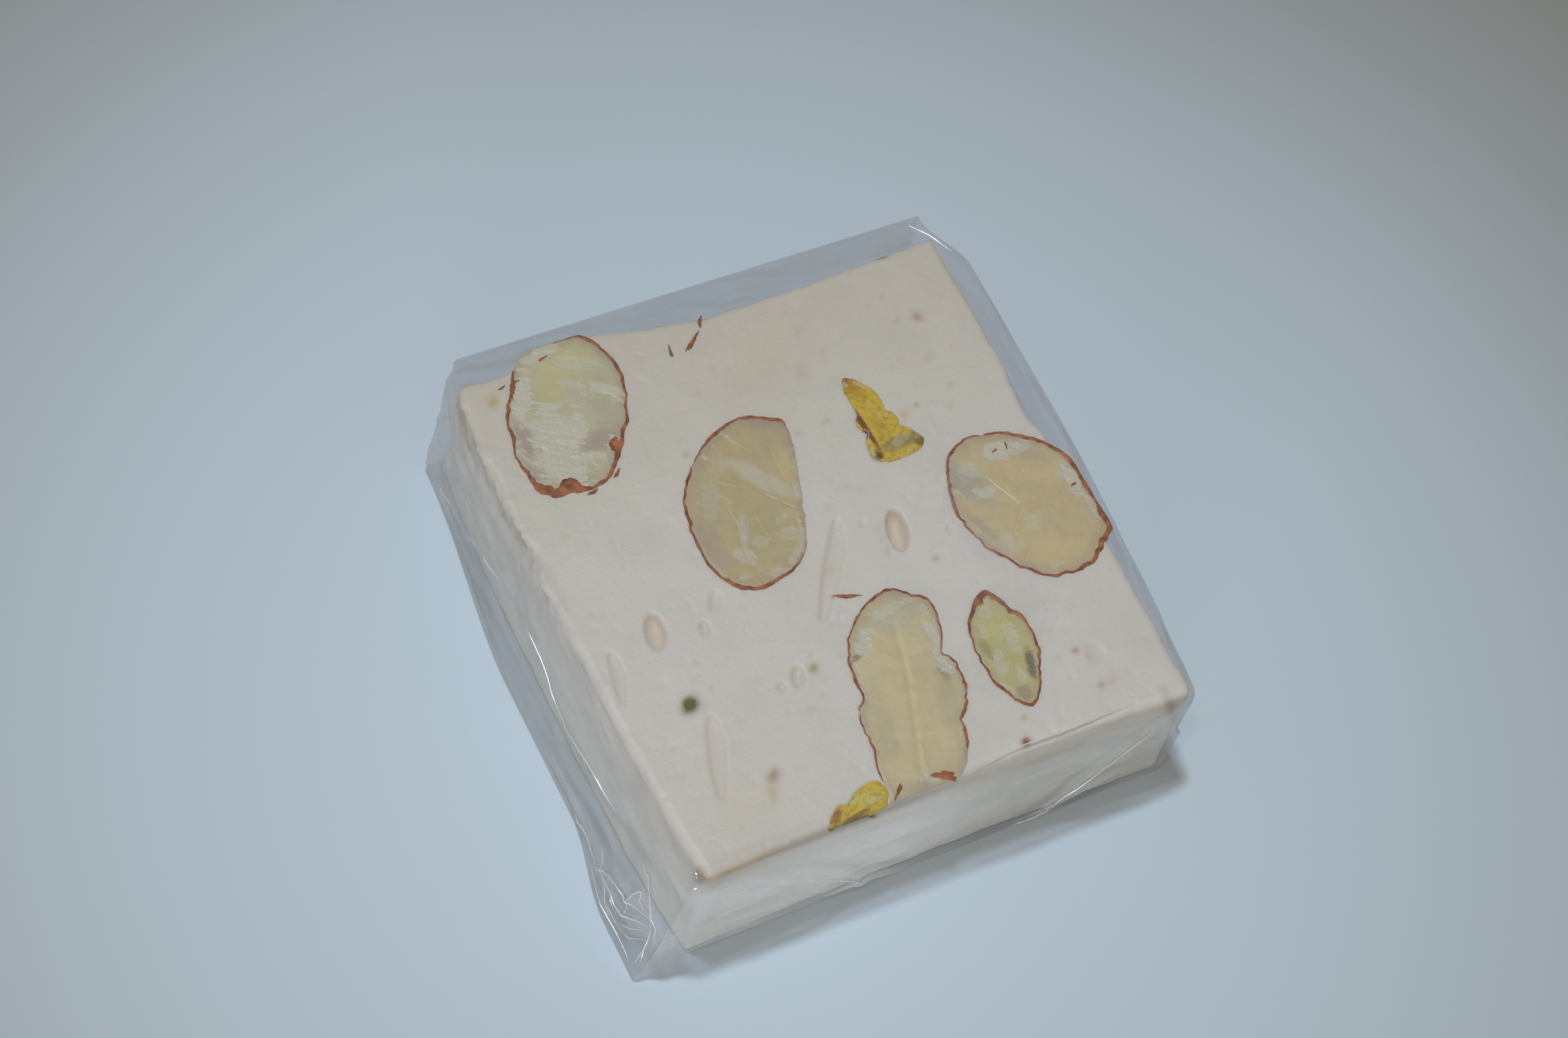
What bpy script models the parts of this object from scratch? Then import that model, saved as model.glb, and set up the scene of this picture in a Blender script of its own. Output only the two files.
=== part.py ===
"""A square nougat bar with almonds and pistachios, folded into a clear film wrapper.

The bar lies flat. The origin is the middle of the wrapper's underside, +Z is up, +X runs to
the right along the near side and +Y goes from the near side to the far one. All sizes below
are in millimetres and become metres where a mesh is made.
"""

import math
from collections import namedtuple

import bmesh
import bpy
import numpy as np

MM = 0.001

# Wrapper: a parcel of thin film, tight at the near side and the top, slack at the left and the far side.
FILM_THICKNESS = 0.2
FILM_HEIGHT = 14.1
FILM_NEAR = 25.2
FILM_NEAR_LEFT_FOOT = 0.6  # how far the near wall's left foot is pushed out
FILM_LEFT_TOP = 25.0
FILM_LEFT_FOOT = 24.8
FILM_LEFT_FLARE = 2.1  # the left wall leans out by this much along most of its foot
FILM_TAIL_FLARE = 1.6  # and by this much more at the crumpled near-left corner
FILM_RIGHT_NEAR = 23.3
FILM_RIGHT_BELLY = 1.8
FILM_FAR_FOOT = 25.2
FILM_FAR_TOP = 27.2
FILM_FAR_SLANT = 0.2
FILM_TIP_PULL_LEFT = 2.6  # the far corners are drawn inward to pointed tips
FILM_TIP_PULL_RIGHT = 2.1
FLAP_DEPTH = 0.25
FLAP_TOP_HALF = 21.0
FLAP_FOOT_HALF = 8.0
FLAP_MIDDLE = 1.5
LAP_GAP = 0.5  # the sheet's two edges almost meet underneath, along this narrow gap
LAP_X = 12.0
FILM_CELLS = (14, 16, 5)

# Nougat block
NOUGAT_BOTTOM = 0.5
NOUGAT_TOP = 13.6
NOUGAT_LEFT = 24.2
NOUGAT_LEFT_CORNER_PULL = 1.0
NOUGAT_RIGHT = 23.4
NOUGAT_RIGHT_CORNER_PULL = 0.8  # at the near-right corner only
NOUGAT_FAR = 24.0
NOUGAT_NEAR = 24.1
NOUGAT_CORNER_SPREAD = 0.5  # the cut sides are slightly hollow between their corners
NOUGAT_EDGE_RADIUS = 1.2
NOUGAT_CELLS = 10

# Nuts: cut through at the nougat's top face, and bedded in pockets with a hair's gap.
POCKET_GAP = 0.45
RIM_POINTS = 24
BOWL_RINGS = 4

Almond = namedtuple("Almond", "name centre length width tilt depth side_cut lumps")
Chip = namedtuple("Chip", "name centre depth corners")

# side_cut is (direction in degrees, distance from the origin) of the knife cut that also
# trims the nut at the bar's side. lumps scale the egg outline in even steps round it.
ALMONDS = (
    Almond("almond_far_left", (-15.4, 19.4), 17.2, 11.0, 70, 5.0, (90, 26.2),
           (1.0, 0.88, 0.93, 0.94, 0.98, 1.03, 0.92, 0.97, 0.90, 0.94, 1.02, 0.98)),
    Almond("almond_centre", (-4.6, 5.4), 17.6, 10.8, 64, 5.0, None,
           (1.0, 0.96, 0.98, 1.05, 0.97, 0.97, 0.94, 0.94, 1.0, 0.82, 0.88, 1.06)),
    Almond("almond_right", (18.2, -2.9), 15.8, 12.6, 118, 5.2, (0, 24.0),
           (1.02, 0.93, 0.96, 0.98, 1.0, 1.03, 0.97, 0.98, 0.93, 0.98, 0.98, 0.97)),
    Almond("almond_near", (-0.6, -16.2), 20.6, 9.8, 72, 4.6, (-90, 24.65),
           (1.0, 0.97, 1.01, 0.80, 0.90, 1.02, 0.95, 0.93, 1.02, 1.01, 1.05, 1.06)),
    Almond("almond_small", (9.7, -15.1), 11.4, 5.4, 84, 3.0, None,
           (0.97, 0.94, 0.96, 0.99, 0.95, 0.97, 0.99, 0.88, 0.84, 0.98, 0.96, 0.88)),
)
# corners are given from the nut's centre, anticlockwise.
PISTACHIOS = (
    Chip("pistachio_wedge", (9.5, 8.6), 3.5,
         ((3.2, -2.8), (1.7, 0.3), (1.2, 3.3), (-0.9, 5.6),
          (-1.4, 3.2), (-1.8, 0.4), (-2.1, -3.1), (0.7, -3.7))),
    Chip("pistachio_edge", (-9.5, -23.7), 2.6,
         ((2.5, 1.3), (1.0, 1.4), (-1.0, 0.8), (-2.3, -0.4), (-2.8, -0.9), (0.0, -0.95), (2.6, -0.9))),
)

COLOURS = {
    "nougat": ((0.66, 0.62, 0.53, 1.0), 0.55, 1.0),
    "almond": ((0.50, 0.40, 0.22, 1.0), 0.6, 1.0),
    "pistachio": ((0.42, 0.33, 0.03, 1.0), 0.6, 1.0),
    "clear_film": ((0.80, 0.84, 0.88, 1.0), 0.1, 0.3),
}


def clear_scene():
    for item in list(bpy.data.objects):
        bpy.data.objects.remove(item)


def finish_material(name):
    """A Principled material of the given name from COLOURS."""
    colour, roughness, alpha = COLOURS[name]
    made = bpy.data.materials.get(name) or bpy.data.materials.new(name)
    made.use_nodes = True
    shader = made.node_tree.nodes["Principled BSDF"]
    shader.inputs["Base Color"].default_value = colour
    shader.inputs["Roughness"].default_value = roughness
    shader.inputs["Metallic"].default_value = 0.0
    shader.inputs["Alpha"].default_value = alpha
    return made


def add_object(name, mesh, material):
    """Turns a finished bmesh into a named object in the scene."""
    data = bpy.data.meshes.new(name)
    mesh.to_mesh(data)
    mesh.free()
    data.materials.append(finish_material(material))
    made = bpy.data.objects.new(name, data)
    bpy.context.scene.collection.objects.link(made)
    return made


def ease(value):
    """0 below 0, 1 above 1 and a smooth S between them."""
    share = min(1.0, max(0.0, value))
    return share * share * (3 - 2 * share)


def between(low, high, share):
    return low + (high - low) * share


# ---- boxes with shaped sides -------------------------------------------------------------

def add_box_skin(mesh, stations, place, inward=False, gap_cells=()):
    """Adds the skin of a box whose lattice points stand at stations (three rising lists of
    shares, -1 to 1) and are put in place by place(s, t, w). Cells of the underside that are
    in gap_cells stay open. Returns the vertices by lattice index."""
    across, along, up = stations
    last = (len(across) - 1, len(along) - 1, len(up) - 1)
    points = {}

    def corner(i, j, k):
        if (i, j, k) not in points:
            x, y, z = place(across[i], along[j], up[k])
            points[i, j, k] = mesh.verts.new((x * MM, y * MM, z * MM))
        return points[i, j, k]

    def face(*corners):
        ring = [corner(*c) for c in corners]
        mesh.faces.new(reversed(ring) if inward else ring)

    for i in range(last[0]):
        for j in range(last[1]):
            top = last[2]
            face((i, j, top), (i + 1, j, top), (i + 1, j + 1, top), (i, j + 1, top))
            if (i, j) not in gap_cells:
                face((i, j, 0), (i, j + 1, 0), (i + 1, j + 1, 0), (i + 1, j, 0))
    for k in range(last[2]):
        for i in range(last[0]):
            far = last[1]
            face((i, 0, k), (i + 1, 0, k), (i + 1, 0, k + 1), (i, 0, k + 1))
            face((i, far, k), (i, far, k + 1), (i + 1, far, k + 1), (i + 1, far, k))
        for j in range(last[1]):
            right = last[0]
            face((0, j, k), (0, j, k + 1), (0, j + 1, k + 1), (0, j + 1, k))
            face((right, j, k), (right, j + 1, k), (right, j + 1, k + 1), (right, j, k + 1))
    return points


def even_stations(cells):
    return [2 * i / cells - 1 for i in range(cells + 1)]


def edge_stations(cells, half, radius):
    """Even stations inside, with two more in each rounded edge."""
    inner = 1 - radius / half
    bend = 1 - 0.4 * radius / half
    return [-1.0, -bend] + [inner * share for share in even_stations(cells)] + [bend, 1.0]


# ---- wrapper -----------------------------------------------------------------------------

def film_left(y, height):
    """x of the left wall: upright at its top edge, flared at its foot, drawn in at the far tip."""
    top = -FILM_LEFT_TOP + FILM_TIP_PULL_LEFT * max(0.0, (y - 20.0) / 7.3) ** 1.5
    foot = -FILM_LEFT_FOOT - FILM_LEFT_FLARE * ease((25.0 - y) / 22.0)
    foot -= FILM_TAIL_FLARE * ease((-10.0 - y) / 10.0)
    return between(foot, top, height**0.8)


def film_right(y):
    """x of the right wall, which bellies out and is drawn in at the far tip."""
    belly = FILM_RIGHT_BELLY * math.sin(math.pi / 2 * min(1.0, (y + 25.2) / 30.0))
    return FILM_RIGHT_NEAR + belly - FILM_TIP_PULL_RIGHT * ease((y - 20.5) / 6.0)


def film_far(s, height):
    """y of the far wall, whose slack film stands out at the top edge."""
    return between(FILM_FAR_FOOT, FILM_FAR_TOP - FILM_FAR_SLANT * s, math.sqrt(height))


def film_near(s, height):
    """y of the near wall, with the end fold's flap as a shallow trapezoid on it."""
    x = s * FILM_RIGHT_NEAR
    half = between(FLAP_FOOT_HALF, FLAP_TOP_HALF, height)
    flap = FLAP_DEPTH * ease(half - abs(x - FLAP_MIDDLE))
    foot = FILM_NEAR_LEFT_FOOT * ease((-18.0 - x) / 4.0) * (1 - height)
    return -FILM_NEAR - flap * math.sin(math.pi * height) - foot


def film_place(inset):
    """The wrapper's surface, moved inward by inset."""

    def place(s, t, w):
        height = (w + 1) / 2
        near = film_near(s, height) + inset
        far = film_far(s, height) - inset
        y = between(near, far, (t + 1) / 2)
        left = film_left(y, height) + inset
        right = film_right(y) - inset
        x = between(left, right, (s + 1) / 2)
        return x, y, between(inset, FILM_HEIGHT - inset, height)

    return place


def make_wrapper():
    """A thin shell: an outer skin, an inner one, and walls that join them round the lap gap."""
    across, along, up = (even_stations(cells) for cells in FILM_CELLS)
    lap = [(LAP_X + side * LAP_GAP / 2) / FILM_RIGHT_NEAR for side in (-1, 1)]
    across = sorted([share for share in across if min(abs(share - edge) for edge in lap) > 0.02] + lap)
    column = across.index(lap[0])
    rows = range(2, len(along) - 3)
    gap_cells = {(column, j) for j in rows}
    stations = (across, along, up)
    mesh = bmesh.new()
    outer = add_box_skin(mesh, stations, film_place(0.0), gap_cells=gap_cells)
    inner = add_box_skin(mesh, stations, film_place(FILM_THICKNESS), inward=True, gap_cells=gap_cells)
    first, end = rows[0], rows[-1] + 1
    rim = [(column, j, 0) for j in range(first, end + 1)]
    rim += [(column + 1, j, 0) for j in range(end, first - 1, -1)]
    for here, after in zip(rim, rim[1:] + rim[:1]):
        mesh.faces.new([outer[here], outer[after], inner[after], inner[here]])
    return add_object("film_wrapper", mesh, "clear_film")


# ---- nuts --------------------------------------------------------------------------------

def lump_factor(lumps, turn):
    """The lumps' value at a turn from 0 to 1, eased from each one to the next."""
    place = turn * len(lumps)
    index = int(place)
    return between(lumps[index % len(lumps)], lumps[(index + 1) % len(lumps)], ease(place - index))


def almond_rim(nut, margin):
    """Points round the cut face, from the nut's centre: an egg with uneven lumps, turned by
    its tilt, each moved out by margin and held back at the side cut."""
    tilt = math.radians(nut.tilt)
    rim = []
    for number in range(RIM_POINTS):
        turn = number / RIM_POINTS
        angle = 2 * math.pi * turn
        size = lump_factor(nut.lumps, turn)
        ahead = nut.length / 2 * size * math.cos(angle)
        aside = nut.width / 2 * size * math.sin(angle)
        point = np.array((
            ahead * math.cos(tilt) - aside * math.sin(tilt),
            ahead * math.sin(tilt) + aside * math.cos(tilt),
        ))
        rim.append(point * (1 + margin / np.linalg.norm(point)))
    if nut.side_cut:
        direction = math.radians(nut.side_cut[0])
        normal = np.array((math.cos(direction), math.sin(direction)))
        room = nut.side_cut[1] + margin - normal @ np.array(nut.centre)
        rim = [point * min(1.0, room / max(normal @ point, 1e-9)) for point in rim]
    return rim


def chip_rim(nut, margin):
    """Points round a broken pistachio: a closed smooth curve through its corners, each moved
    out by margin."""
    corners = [np.array(corner, float) for corner in nut.corners]
    count = len(corners)
    steps = RIM_POINTS // count
    rim = []
    for number in range(count):
        before, here, after, later = (corners[(number + shift) % count] for shift in (-1, 0, 1, 2))
        for step in range(steps):
            u = step / steps
            point = 0.5 * (
                2 * here
                + (after - before) * u
                + (2 * before - 5 * here + 4 * after - later) * u * u
                + (3 * here - before - 3 * after + later) * u**3
            )
            rim.append(point * (1 + margin / np.linalg.norm(point)))
    return rim


def nut_mesh(nut, margin=0.0, rise=0.0):
    """A nut below its cut face: rings of the rim that shrink like a bowl down to one point.
    margin grows it on all sides, and rise lifts its cut face."""
    rim = almond_rim(nut, margin) if isinstance(nut, Almond) else chip_rim(nut, margin)
    depth = nut.depth + margin
    mesh = bmesh.new()

    def ring(scale, z):
        return [
            mesh.verts.new(((nut.centre[0] + x * scale) * MM, (nut.centre[1] + y * scale) * MM, z * MM))
            for x, y in rim
        ]

    rings = [ring(1.0, NOUGAT_TOP + rise)]
    for number in range(0 if rise else 1, BOWL_RINGS + 1):
        angle = math.pi / 2 * number / (BOWL_RINGS + 1)
        rings.append(ring(math.cos(angle), NOUGAT_TOP - depth * math.sin(angle)))
    for upper, lower in zip(rings, rings[1:]):
        for i in range(len(rim)):
            after = (i + 1) % len(rim)
            mesh.faces.new((upper[i], lower[i], lower[after], upper[after]))
    crown = mesh.verts.new((nut.centre[0] * MM, nut.centre[1] * MM, (NOUGAT_TOP + rise) * MM))
    bottom = mesh.verts.new((nut.centre[0] * MM, nut.centre[1] * MM, (NOUGAT_TOP - depth) * MM))
    for i in range(len(rim)):
        after = (i + 1) % len(rim)
        mesh.faces.new((crown, rings[0][i], rings[0][after]))
        mesh.faces.new((bottom, rings[-1][after], rings[-1][i]))
    return mesh


# ---- nougat ------------------------------------------------------------------------------

def nougat_place(s, t, w):
    """The block's surface: sides a little hollow between the corners, all edges rounded."""
    spread = NOUGAT_CORNER_SPREAD
    left = -NOUGAT_LEFT + NOUGAT_LEFT_CORNER_PULL * abs(t) ** 3
    right = NOUGAT_RIGHT - NOUGAT_RIGHT_CORNER_PULL * max(0.0, -t) ** 3
    x_range = (left, right)
    y_range = (-NOUGAT_NEAR - spread * s * s, NOUGAT_FAR + spread * s * s)
    z_range = (NOUGAT_BOTTOM, NOUGAT_TOP)
    point = np.array([between(*limits, (share + 1) / 2)
                      for limits, share in ((x_range, s), (y_range, t), (z_range, w))])
    core = np.array([min(max(value, limits[0] + NOUGAT_EDGE_RADIUS), limits[1] - NOUGAT_EDGE_RADIUS)
                     for value, limits in zip(point, (x_range, y_range, z_range))])
    outward = point - core
    return core + outward * NOUGAT_EDGE_RADIUS / np.linalg.norm(outward)


def make_nougat(cutters):
    """The block, with a pocket cut for each nut."""
    half_height = (NOUGAT_TOP - NOUGAT_BOTTOM) / 2
    stations = (
        edge_stations(NOUGAT_CELLS, NOUGAT_LEFT, NOUGAT_EDGE_RADIUS),
        edge_stations(NOUGAT_CELLS, NOUGAT_NEAR, NOUGAT_EDGE_RADIUS),
        edge_stations(2, half_height, NOUGAT_EDGE_RADIUS),
    )
    mesh = bmesh.new()
    add_box_skin(mesh, stations, nougat_place)
    block = add_object("nougat", mesh, "nougat")
    for cutter in cutters:
        pocket = block.modifiers.new(cutter.name, "BOOLEAN")
        pocket.operation = "DIFFERENCE"
        pocket.object = cutter
    return block


def make_nuts():
    """Every nut as its own object, and a hidden cutter a little larger for its pocket."""
    cutters = []
    for nut in ALMONDS + PISTACHIOS:
        material = "almond" if isinstance(nut, Almond) else "pistachio"
        add_object(nut.name, nut_mesh(nut), material)
        cutter = add_object(nut.name + "_pocket", nut_mesh(nut, POCKET_GAP, rise=1.0), "nougat")
        cutter.hide_render = True
        cutter.display_type = "WIRE"
        cutters.append(cutter)
    return cutters


clear_scene()
make_nougat(make_nuts())
make_wrapper()
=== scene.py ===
"""Looks of a square nougat bar with cut almonds and pistachios, folded into a clear film wrapper.

Sizes and places in this script are in millimetres, in the model's own frame: +Z up, +X to the
right along the near side, +Y from the near side to the far one. They become metres where a mesh
is made.
"""

from collections import namedtuple

import bpy
import numpy as np
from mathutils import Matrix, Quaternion, Vector


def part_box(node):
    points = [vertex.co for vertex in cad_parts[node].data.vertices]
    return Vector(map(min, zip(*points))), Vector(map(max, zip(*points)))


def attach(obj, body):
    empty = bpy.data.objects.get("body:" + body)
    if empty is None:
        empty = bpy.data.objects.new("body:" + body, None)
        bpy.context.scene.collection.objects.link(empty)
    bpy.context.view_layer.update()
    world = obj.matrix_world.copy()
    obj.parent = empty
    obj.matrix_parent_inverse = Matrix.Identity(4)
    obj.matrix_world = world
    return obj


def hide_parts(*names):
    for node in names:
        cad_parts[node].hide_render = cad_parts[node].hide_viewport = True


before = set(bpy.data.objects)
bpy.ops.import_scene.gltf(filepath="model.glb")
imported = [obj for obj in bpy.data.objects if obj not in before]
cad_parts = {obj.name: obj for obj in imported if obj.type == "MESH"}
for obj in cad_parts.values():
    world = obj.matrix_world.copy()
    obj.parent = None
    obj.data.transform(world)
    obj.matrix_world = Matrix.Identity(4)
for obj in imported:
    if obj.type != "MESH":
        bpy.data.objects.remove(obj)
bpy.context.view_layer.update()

MM = 0.001


def node_box(name):
    """A CAD node's lowest and highest corners, in millimetres."""
    return [np.array(corner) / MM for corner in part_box(name)]


FILM_LOW, FILM_HIGH = node_box("film_wrapper")
NOUGAT_LOW, NOUGAT_HIGH = node_box("nougat")

FILM_TOP = FILM_HIGH[2] - 0.03
FILM_FOOT = 0.06
FILM_THICKNESS = 0.05
SURFACE = FILM_TOP - 0.22  # height of the cut face of the nougat and of the nuts
NOUGAT_FOOT = FILM_FOOT + FILM_THICKNESS + 0.02


# ---- numbers on grids --------------------------------------------------------------------

def ease(value):
    """0 below 0, 1 above 1 and a smooth S between them: 3v^2 - 2v^3."""
    share = np.clip(value, 0.0, 1.0)
    return share * share * (3 - 2 * share)


def between(low, high, share):
    """The value at share of the way from low to high."""
    return low + (high - low) * share


def hashed(cell, seed):
    """A repeatable value from 0 to 1 for each whole lattice point: its coordinates are
    multiplied by large primes, summed and folded onto themselves twice."""
    primes = np.array((374761393, 668265263, 2246822519)[:cell.shape[-1]])
    mixed = (cell.astype(np.int64) @ primes + seed * 974634777) & 0xFFFFFFFF
    mixed = ((mixed ^ (mixed >> 13)) * 1274126177) & 0xFFFFFFFF
    return ((mixed ^ (mixed >> 16)) & 0xFFFF) / 65535.0


def soft_noise(points, size, seed):
    """Noise from -1 to 1: values at lattice points that lie size apart, eased between them."""
    place = points / size
    cell = np.floor(place).astype(np.int64)
    share = ease(place - cell)
    total = np.zeros(points.shape[:-1])
    for corner in np.ndindex(*(2,) * points.shape[-1]):
        weight = np.prod(np.where(np.array(corner) == 1, share, 1 - share), axis=-1)
        total += weight * hashed(cell + np.array(corner), seed)
    return 2 * total - 1


def rough_noise(points, size, seed, layers=3):
    """The sum of layers of soft noise, each half as large and 0.55 times as strong as the last."""
    total = sum(soft_noise(points, size * 0.5**n, seed + n) * 0.55**n for n in range(layers))
    return total / sum(0.55**n for n in range(layers))


def plates(flat, size, seed):
    """Broken facets: each place belongs to the nearest of scattered points, one in each square of
    a grid. Gives the height of its tilted plate, about -0.7 to 0.7, and the plate's lightness."""
    warp = [rough_noise(flat, size * 0.8, seed + shift) for shift in (11, 19)]
    place = flat / size + 0.35 * np.stack(warp, axis=-1)
    cell = np.floor(place)
    nearest = np.full(flat.shape[:-1], 1e9)
    height = np.zeros(flat.shape[:-1])
    light = np.zeros(flat.shape[:-1])
    for shift in np.ndindex(3, 3):
        corner = cell + np.array(shift) - 1
        jitter = np.stack([hashed(corner, seed), hashed(corner, seed + 1)], axis=-1)
        gap = place - corner - jitter
        away = (gap**2).sum(axis=-1)
        slope = sum(gap[..., axis] * (hashed(corner, seed + 3 + axis) - 0.5) for axis in (0, 1))
        nearer = away < nearest
        nearest = np.where(nearer, away, nearest)
        height = np.where(nearer, hashed(corner, seed + 2) - 0.5 + slope, height)
        light = np.where(nearer, hashed(corner, seed + 5), light)
    return height, light


def turned(x, y, centre, tilt):
    """Places along and across an axis through centre, tilt degrees from +X."""
    angle = np.radians(tilt)
    ahead = (x - centre[0]) * np.cos(angle) + (y - centre[1]) * np.sin(angle)
    aside = (y - centre[1]) * np.cos(angle) - (x - centre[0]) * np.sin(angle)
    return ahead, aside


def line_distance(x, y, line):
    """Distance of each place from a line through a few points, and its share of the way along."""
    best = np.full(np.shape(x), 1e9)
    along = np.zeros(np.shape(x))
    count = len(line) - 1
    for number, (start, end) in enumerate(zip(line, line[1:])):
        run = np.subtract(end, start)
        share = ((x - start[0]) * run[0] + (y - start[1]) * run[1]) / (run @ run)
        share = np.clip(share, 0.0, 1.0)
        away = np.hypot(x - start[0] - share * run[0], y - start[1] - share * run[1])
        nearer = away < best
        best = np.where(nearer, away, best)
        along = np.where(nearer, (number + share) / count, along)
    return best, along


# ---- meshes ------------------------------------------------------------------------------

def outward(points, faces):
    """The faces turned round if their sixfold signed volume, summed over triangles, is negative."""
    volume = 0.0
    for corners in faces:
        for second in range(1, corners.shape[1] - 1):
            a, b, c = (points[corners[:, index]] for index in (0, second, second + 1))
            volume += np.einsum("ij,ij->", a, np.cross(b, c))
    return [corners[:, ::-1] for corners in faces] if volume < 0 else faces


def add_piece(name, points, faces, material, replaces=None, values=None):
    """A finished piece: points in millimetres, faces as arrays of point numbers, and values as
    attributes that its material reads (one number or one colour for each point)."""
    mesh = bpy.data.meshes.new(name)
    rows = [row for corners in outward(points, faces) for row in corners.tolist()]
    mesh.from_pydata((points * MM).tolist(), [], rows)
    mesh.polygons.foreach_set("use_smooth", np.ones(len(rows), bool))
    for key, value in (values or {}).items():
        kind, field = ("FLOAT", "value") if value.ndim == 1 else ("FLOAT_COLOR", "color")
        made = mesh.attributes.new(key, kind, "POINT")
        made.data.foreach_set(field, value.astype(np.float32).ravel())
    mesh.materials.append(material)
    piece = bpy.data.objects.new(name, mesh)
    bpy.context.scene.collection.objects.link(piece)
    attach(piece, "root")
    if replaces:
        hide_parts(replaces)
    return piece


def box_surface(across, along, up, foot_rings=5):
    """Points and quads over a box lattice with its stations at shares from -1 to 1. The
    underside is closed by rings that shrink from its edge to one point, so it needs few faces."""
    counts = (len(across), len(along), len(up))
    lattice = np.arange(np.prod(counts)).reshape(counts)
    sides = (
        (lattice[:, :, -1], False),
        (lattice[0], True),
        (lattice[-1], False),
        (lattice[:, 0], False),
        (lattice[:, -1], True),
    )
    quads = []
    for side, flipped in sides:
        corners = [side[:-1, :-1], side[1:, :-1], side[1:, 1:], side[:-1, 1:]]
        quad = np.stack(corners, axis=-1).reshape(-1, 4)
        quads.append(quad[:, ::-1] if flipped else quad)
    used, numbered = np.unique(np.concatenate(quads), return_inverse=True)
    i, j, k = np.unravel_index(used, counts)
    shares = np.stack([across[i], along[j], up[k]], axis=1)
    foot = lattice[:, :, 0]
    edge = np.concatenate([foot[:-1, 0], foot[-1, :-1], foot[:0:-1, -1], foot[0, :0:-1]])
    ring = np.searchsorted(used, edge)
    rings = [ring]
    extra = []
    total = len(shares)
    for number in range(1, foot_rings):
        rings.append(np.arange(total, total + len(ring)))
        extra.append(shares[ring] * (1 - number / foot_rings, 1 - number / foot_rings, 1))
        total += len(ring)
    extra.append(np.array([[0.0, 0.0, -1.0]]))
    faces = [numbered.reshape(-1, 4)]
    for outer, inner in zip(rings, rings[1:]):
        faces.append(np.stack([outer, inner, np.roll(inner, -1), np.roll(outer, -1)], axis=1))
    faces.append(fan(total, rings[-1], flipped=True))
    return np.concatenate([shares, *extra]), faces


def ring_faces(rings, count, first=0):
    """Quads between neighbouring rings of count points each."""
    start = first + np.arange(rings - 1)[:, None] * count
    here = np.arange(count)[None, :]
    after = np.roll(here, -1, axis=1)
    corners = [start + here, start + count + here, start + count + after, start + after]
    return np.stack(np.broadcast_arrays(*corners), axis=-1).reshape(-1, 4)


def fan(middle, ring, flipped=False):
    """Triangles between one point and each step along a closed ring of points."""
    first, second = (np.roll(ring, -1), ring) if flipped else (ring, np.roll(ring, -1))
    return np.stack([np.full(len(ring), middle), first, second], axis=1)


# ---- colours and materials ---------------------------------------------------------------

def linear(code):
    """A linear colour from an sRGB hex code."""
    value = np.array([int(code[place:place + 2], 16) for place in (0, 2, 4)]) / 255
    return np.where(value <= 0.04045, value / 12.92, ((value + 0.055) / 1.055) ** 2.4)


def socket_colour(code):
    """The same as a shader socket wants it, with an alpha of 1."""
    return (*linear(code), 1.0)


def add_node(tree, kind, settings=None, **inputs):
    """A node with its settings, and with its inputs by name (spaces as underscores) or as
    in_0, in_1 by number. An input that is another node's output becomes a link."""
    made = tree.nodes.new(kind)
    for name, value in (settings or {}).items():
        setattr(made, name, value)
    for name, value in inputs.items():
        key = int(name[3:]) if name.startswith("in_") else name.replace("_", " ")
        if isinstance(value, bpy.types.NodeSocket):
            tree.links.new(value, made.inputs[key])
        else:
            made.inputs[key].default_value = value
    return made


def new_material(name):
    """An empty material and its node tree."""
    made = bpy.data.materials.new(name)
    made.use_nodes = True
    made.node_tree.nodes.clear()
    return made, made.node_tree


def object_place(tree, stretch=(1.0, 1.0, 1.0)):
    """Object coordinates, stretched along the axes."""
    coordinates = add_node(tree, "ShaderNodeTexCoord")
    return add_node(tree, "ShaderNodeMapping", in_0=coordinates.outputs["Object"], Scale=stretch).outputs[0]


def grain(tree, size, place, detail=3.0, roughness=0.6):
    """Noise whose largest spots are size millimetres wide."""
    made = add_node(tree, "ShaderNodeTexNoise", Vector=place, Scale=1 / (size * MM),
                    Detail=detail, Roughness=roughness)
    return made.outputs["Fac"]


def levels(tree, value, low, high, out_low=0.0, out_high=1.0):
    """Value from low to high stretched to out_low to out_high, and held there."""
    made = add_node(tree, "ShaderNodeMapRange", in_0=value)
    for name, number in (("From Min", low), ("From Max", high), ("To Min", out_low), ("To Max", out_high)):
        made.inputs[name].default_value = number
    return made.outputs[0]


def blended(tree, factor, first, second, blend_type="MIX"):
    """One colour laid over another by factor."""
    made = add_node(tree, "ShaderNodeMix", {"data_type": "RGBA", "blend_type": blend_type}, in_0=factor)
    for number, colour in ((6, first), (7, second)):
        if isinstance(colour, bpy.types.NodeSocket):
            tree.links.new(colour, made.inputs[number])
        else:
            made.inputs[number].default_value = colour
    return made.outputs[2]


def attribute(tree, name, output):
    """An output of one of the piece's own attributes."""
    return add_node(tree, "ShaderNodeAttribute", {"attribute_name": name}).outputs[output]


def bumped(tree, strength, depth, height):
    """The surface's direction, tilted as if height were a relief of depth millimetres."""
    made = add_node(tree, "ShaderNodeBump", Strength=strength, Distance=depth * MM, Height=height)
    return made.outputs[0]


def let_light_in(shader, weight, radius, reach):
    """Light that enters the surface and leaves it up to reach millimetres away."""
    shader.inputs["Subsurface Weight"].default_value = weight
    shader.inputs["Subsurface Radius"].default_value = radius
    shader.inputs["Subsurface Scale"].default_value = reach * MM


def surface_output(tree, shader):
    """Ends the tree with the shader as the surface."""
    add_node(tree, "ShaderNodeOutputMaterial", Surface=shader)


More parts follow.
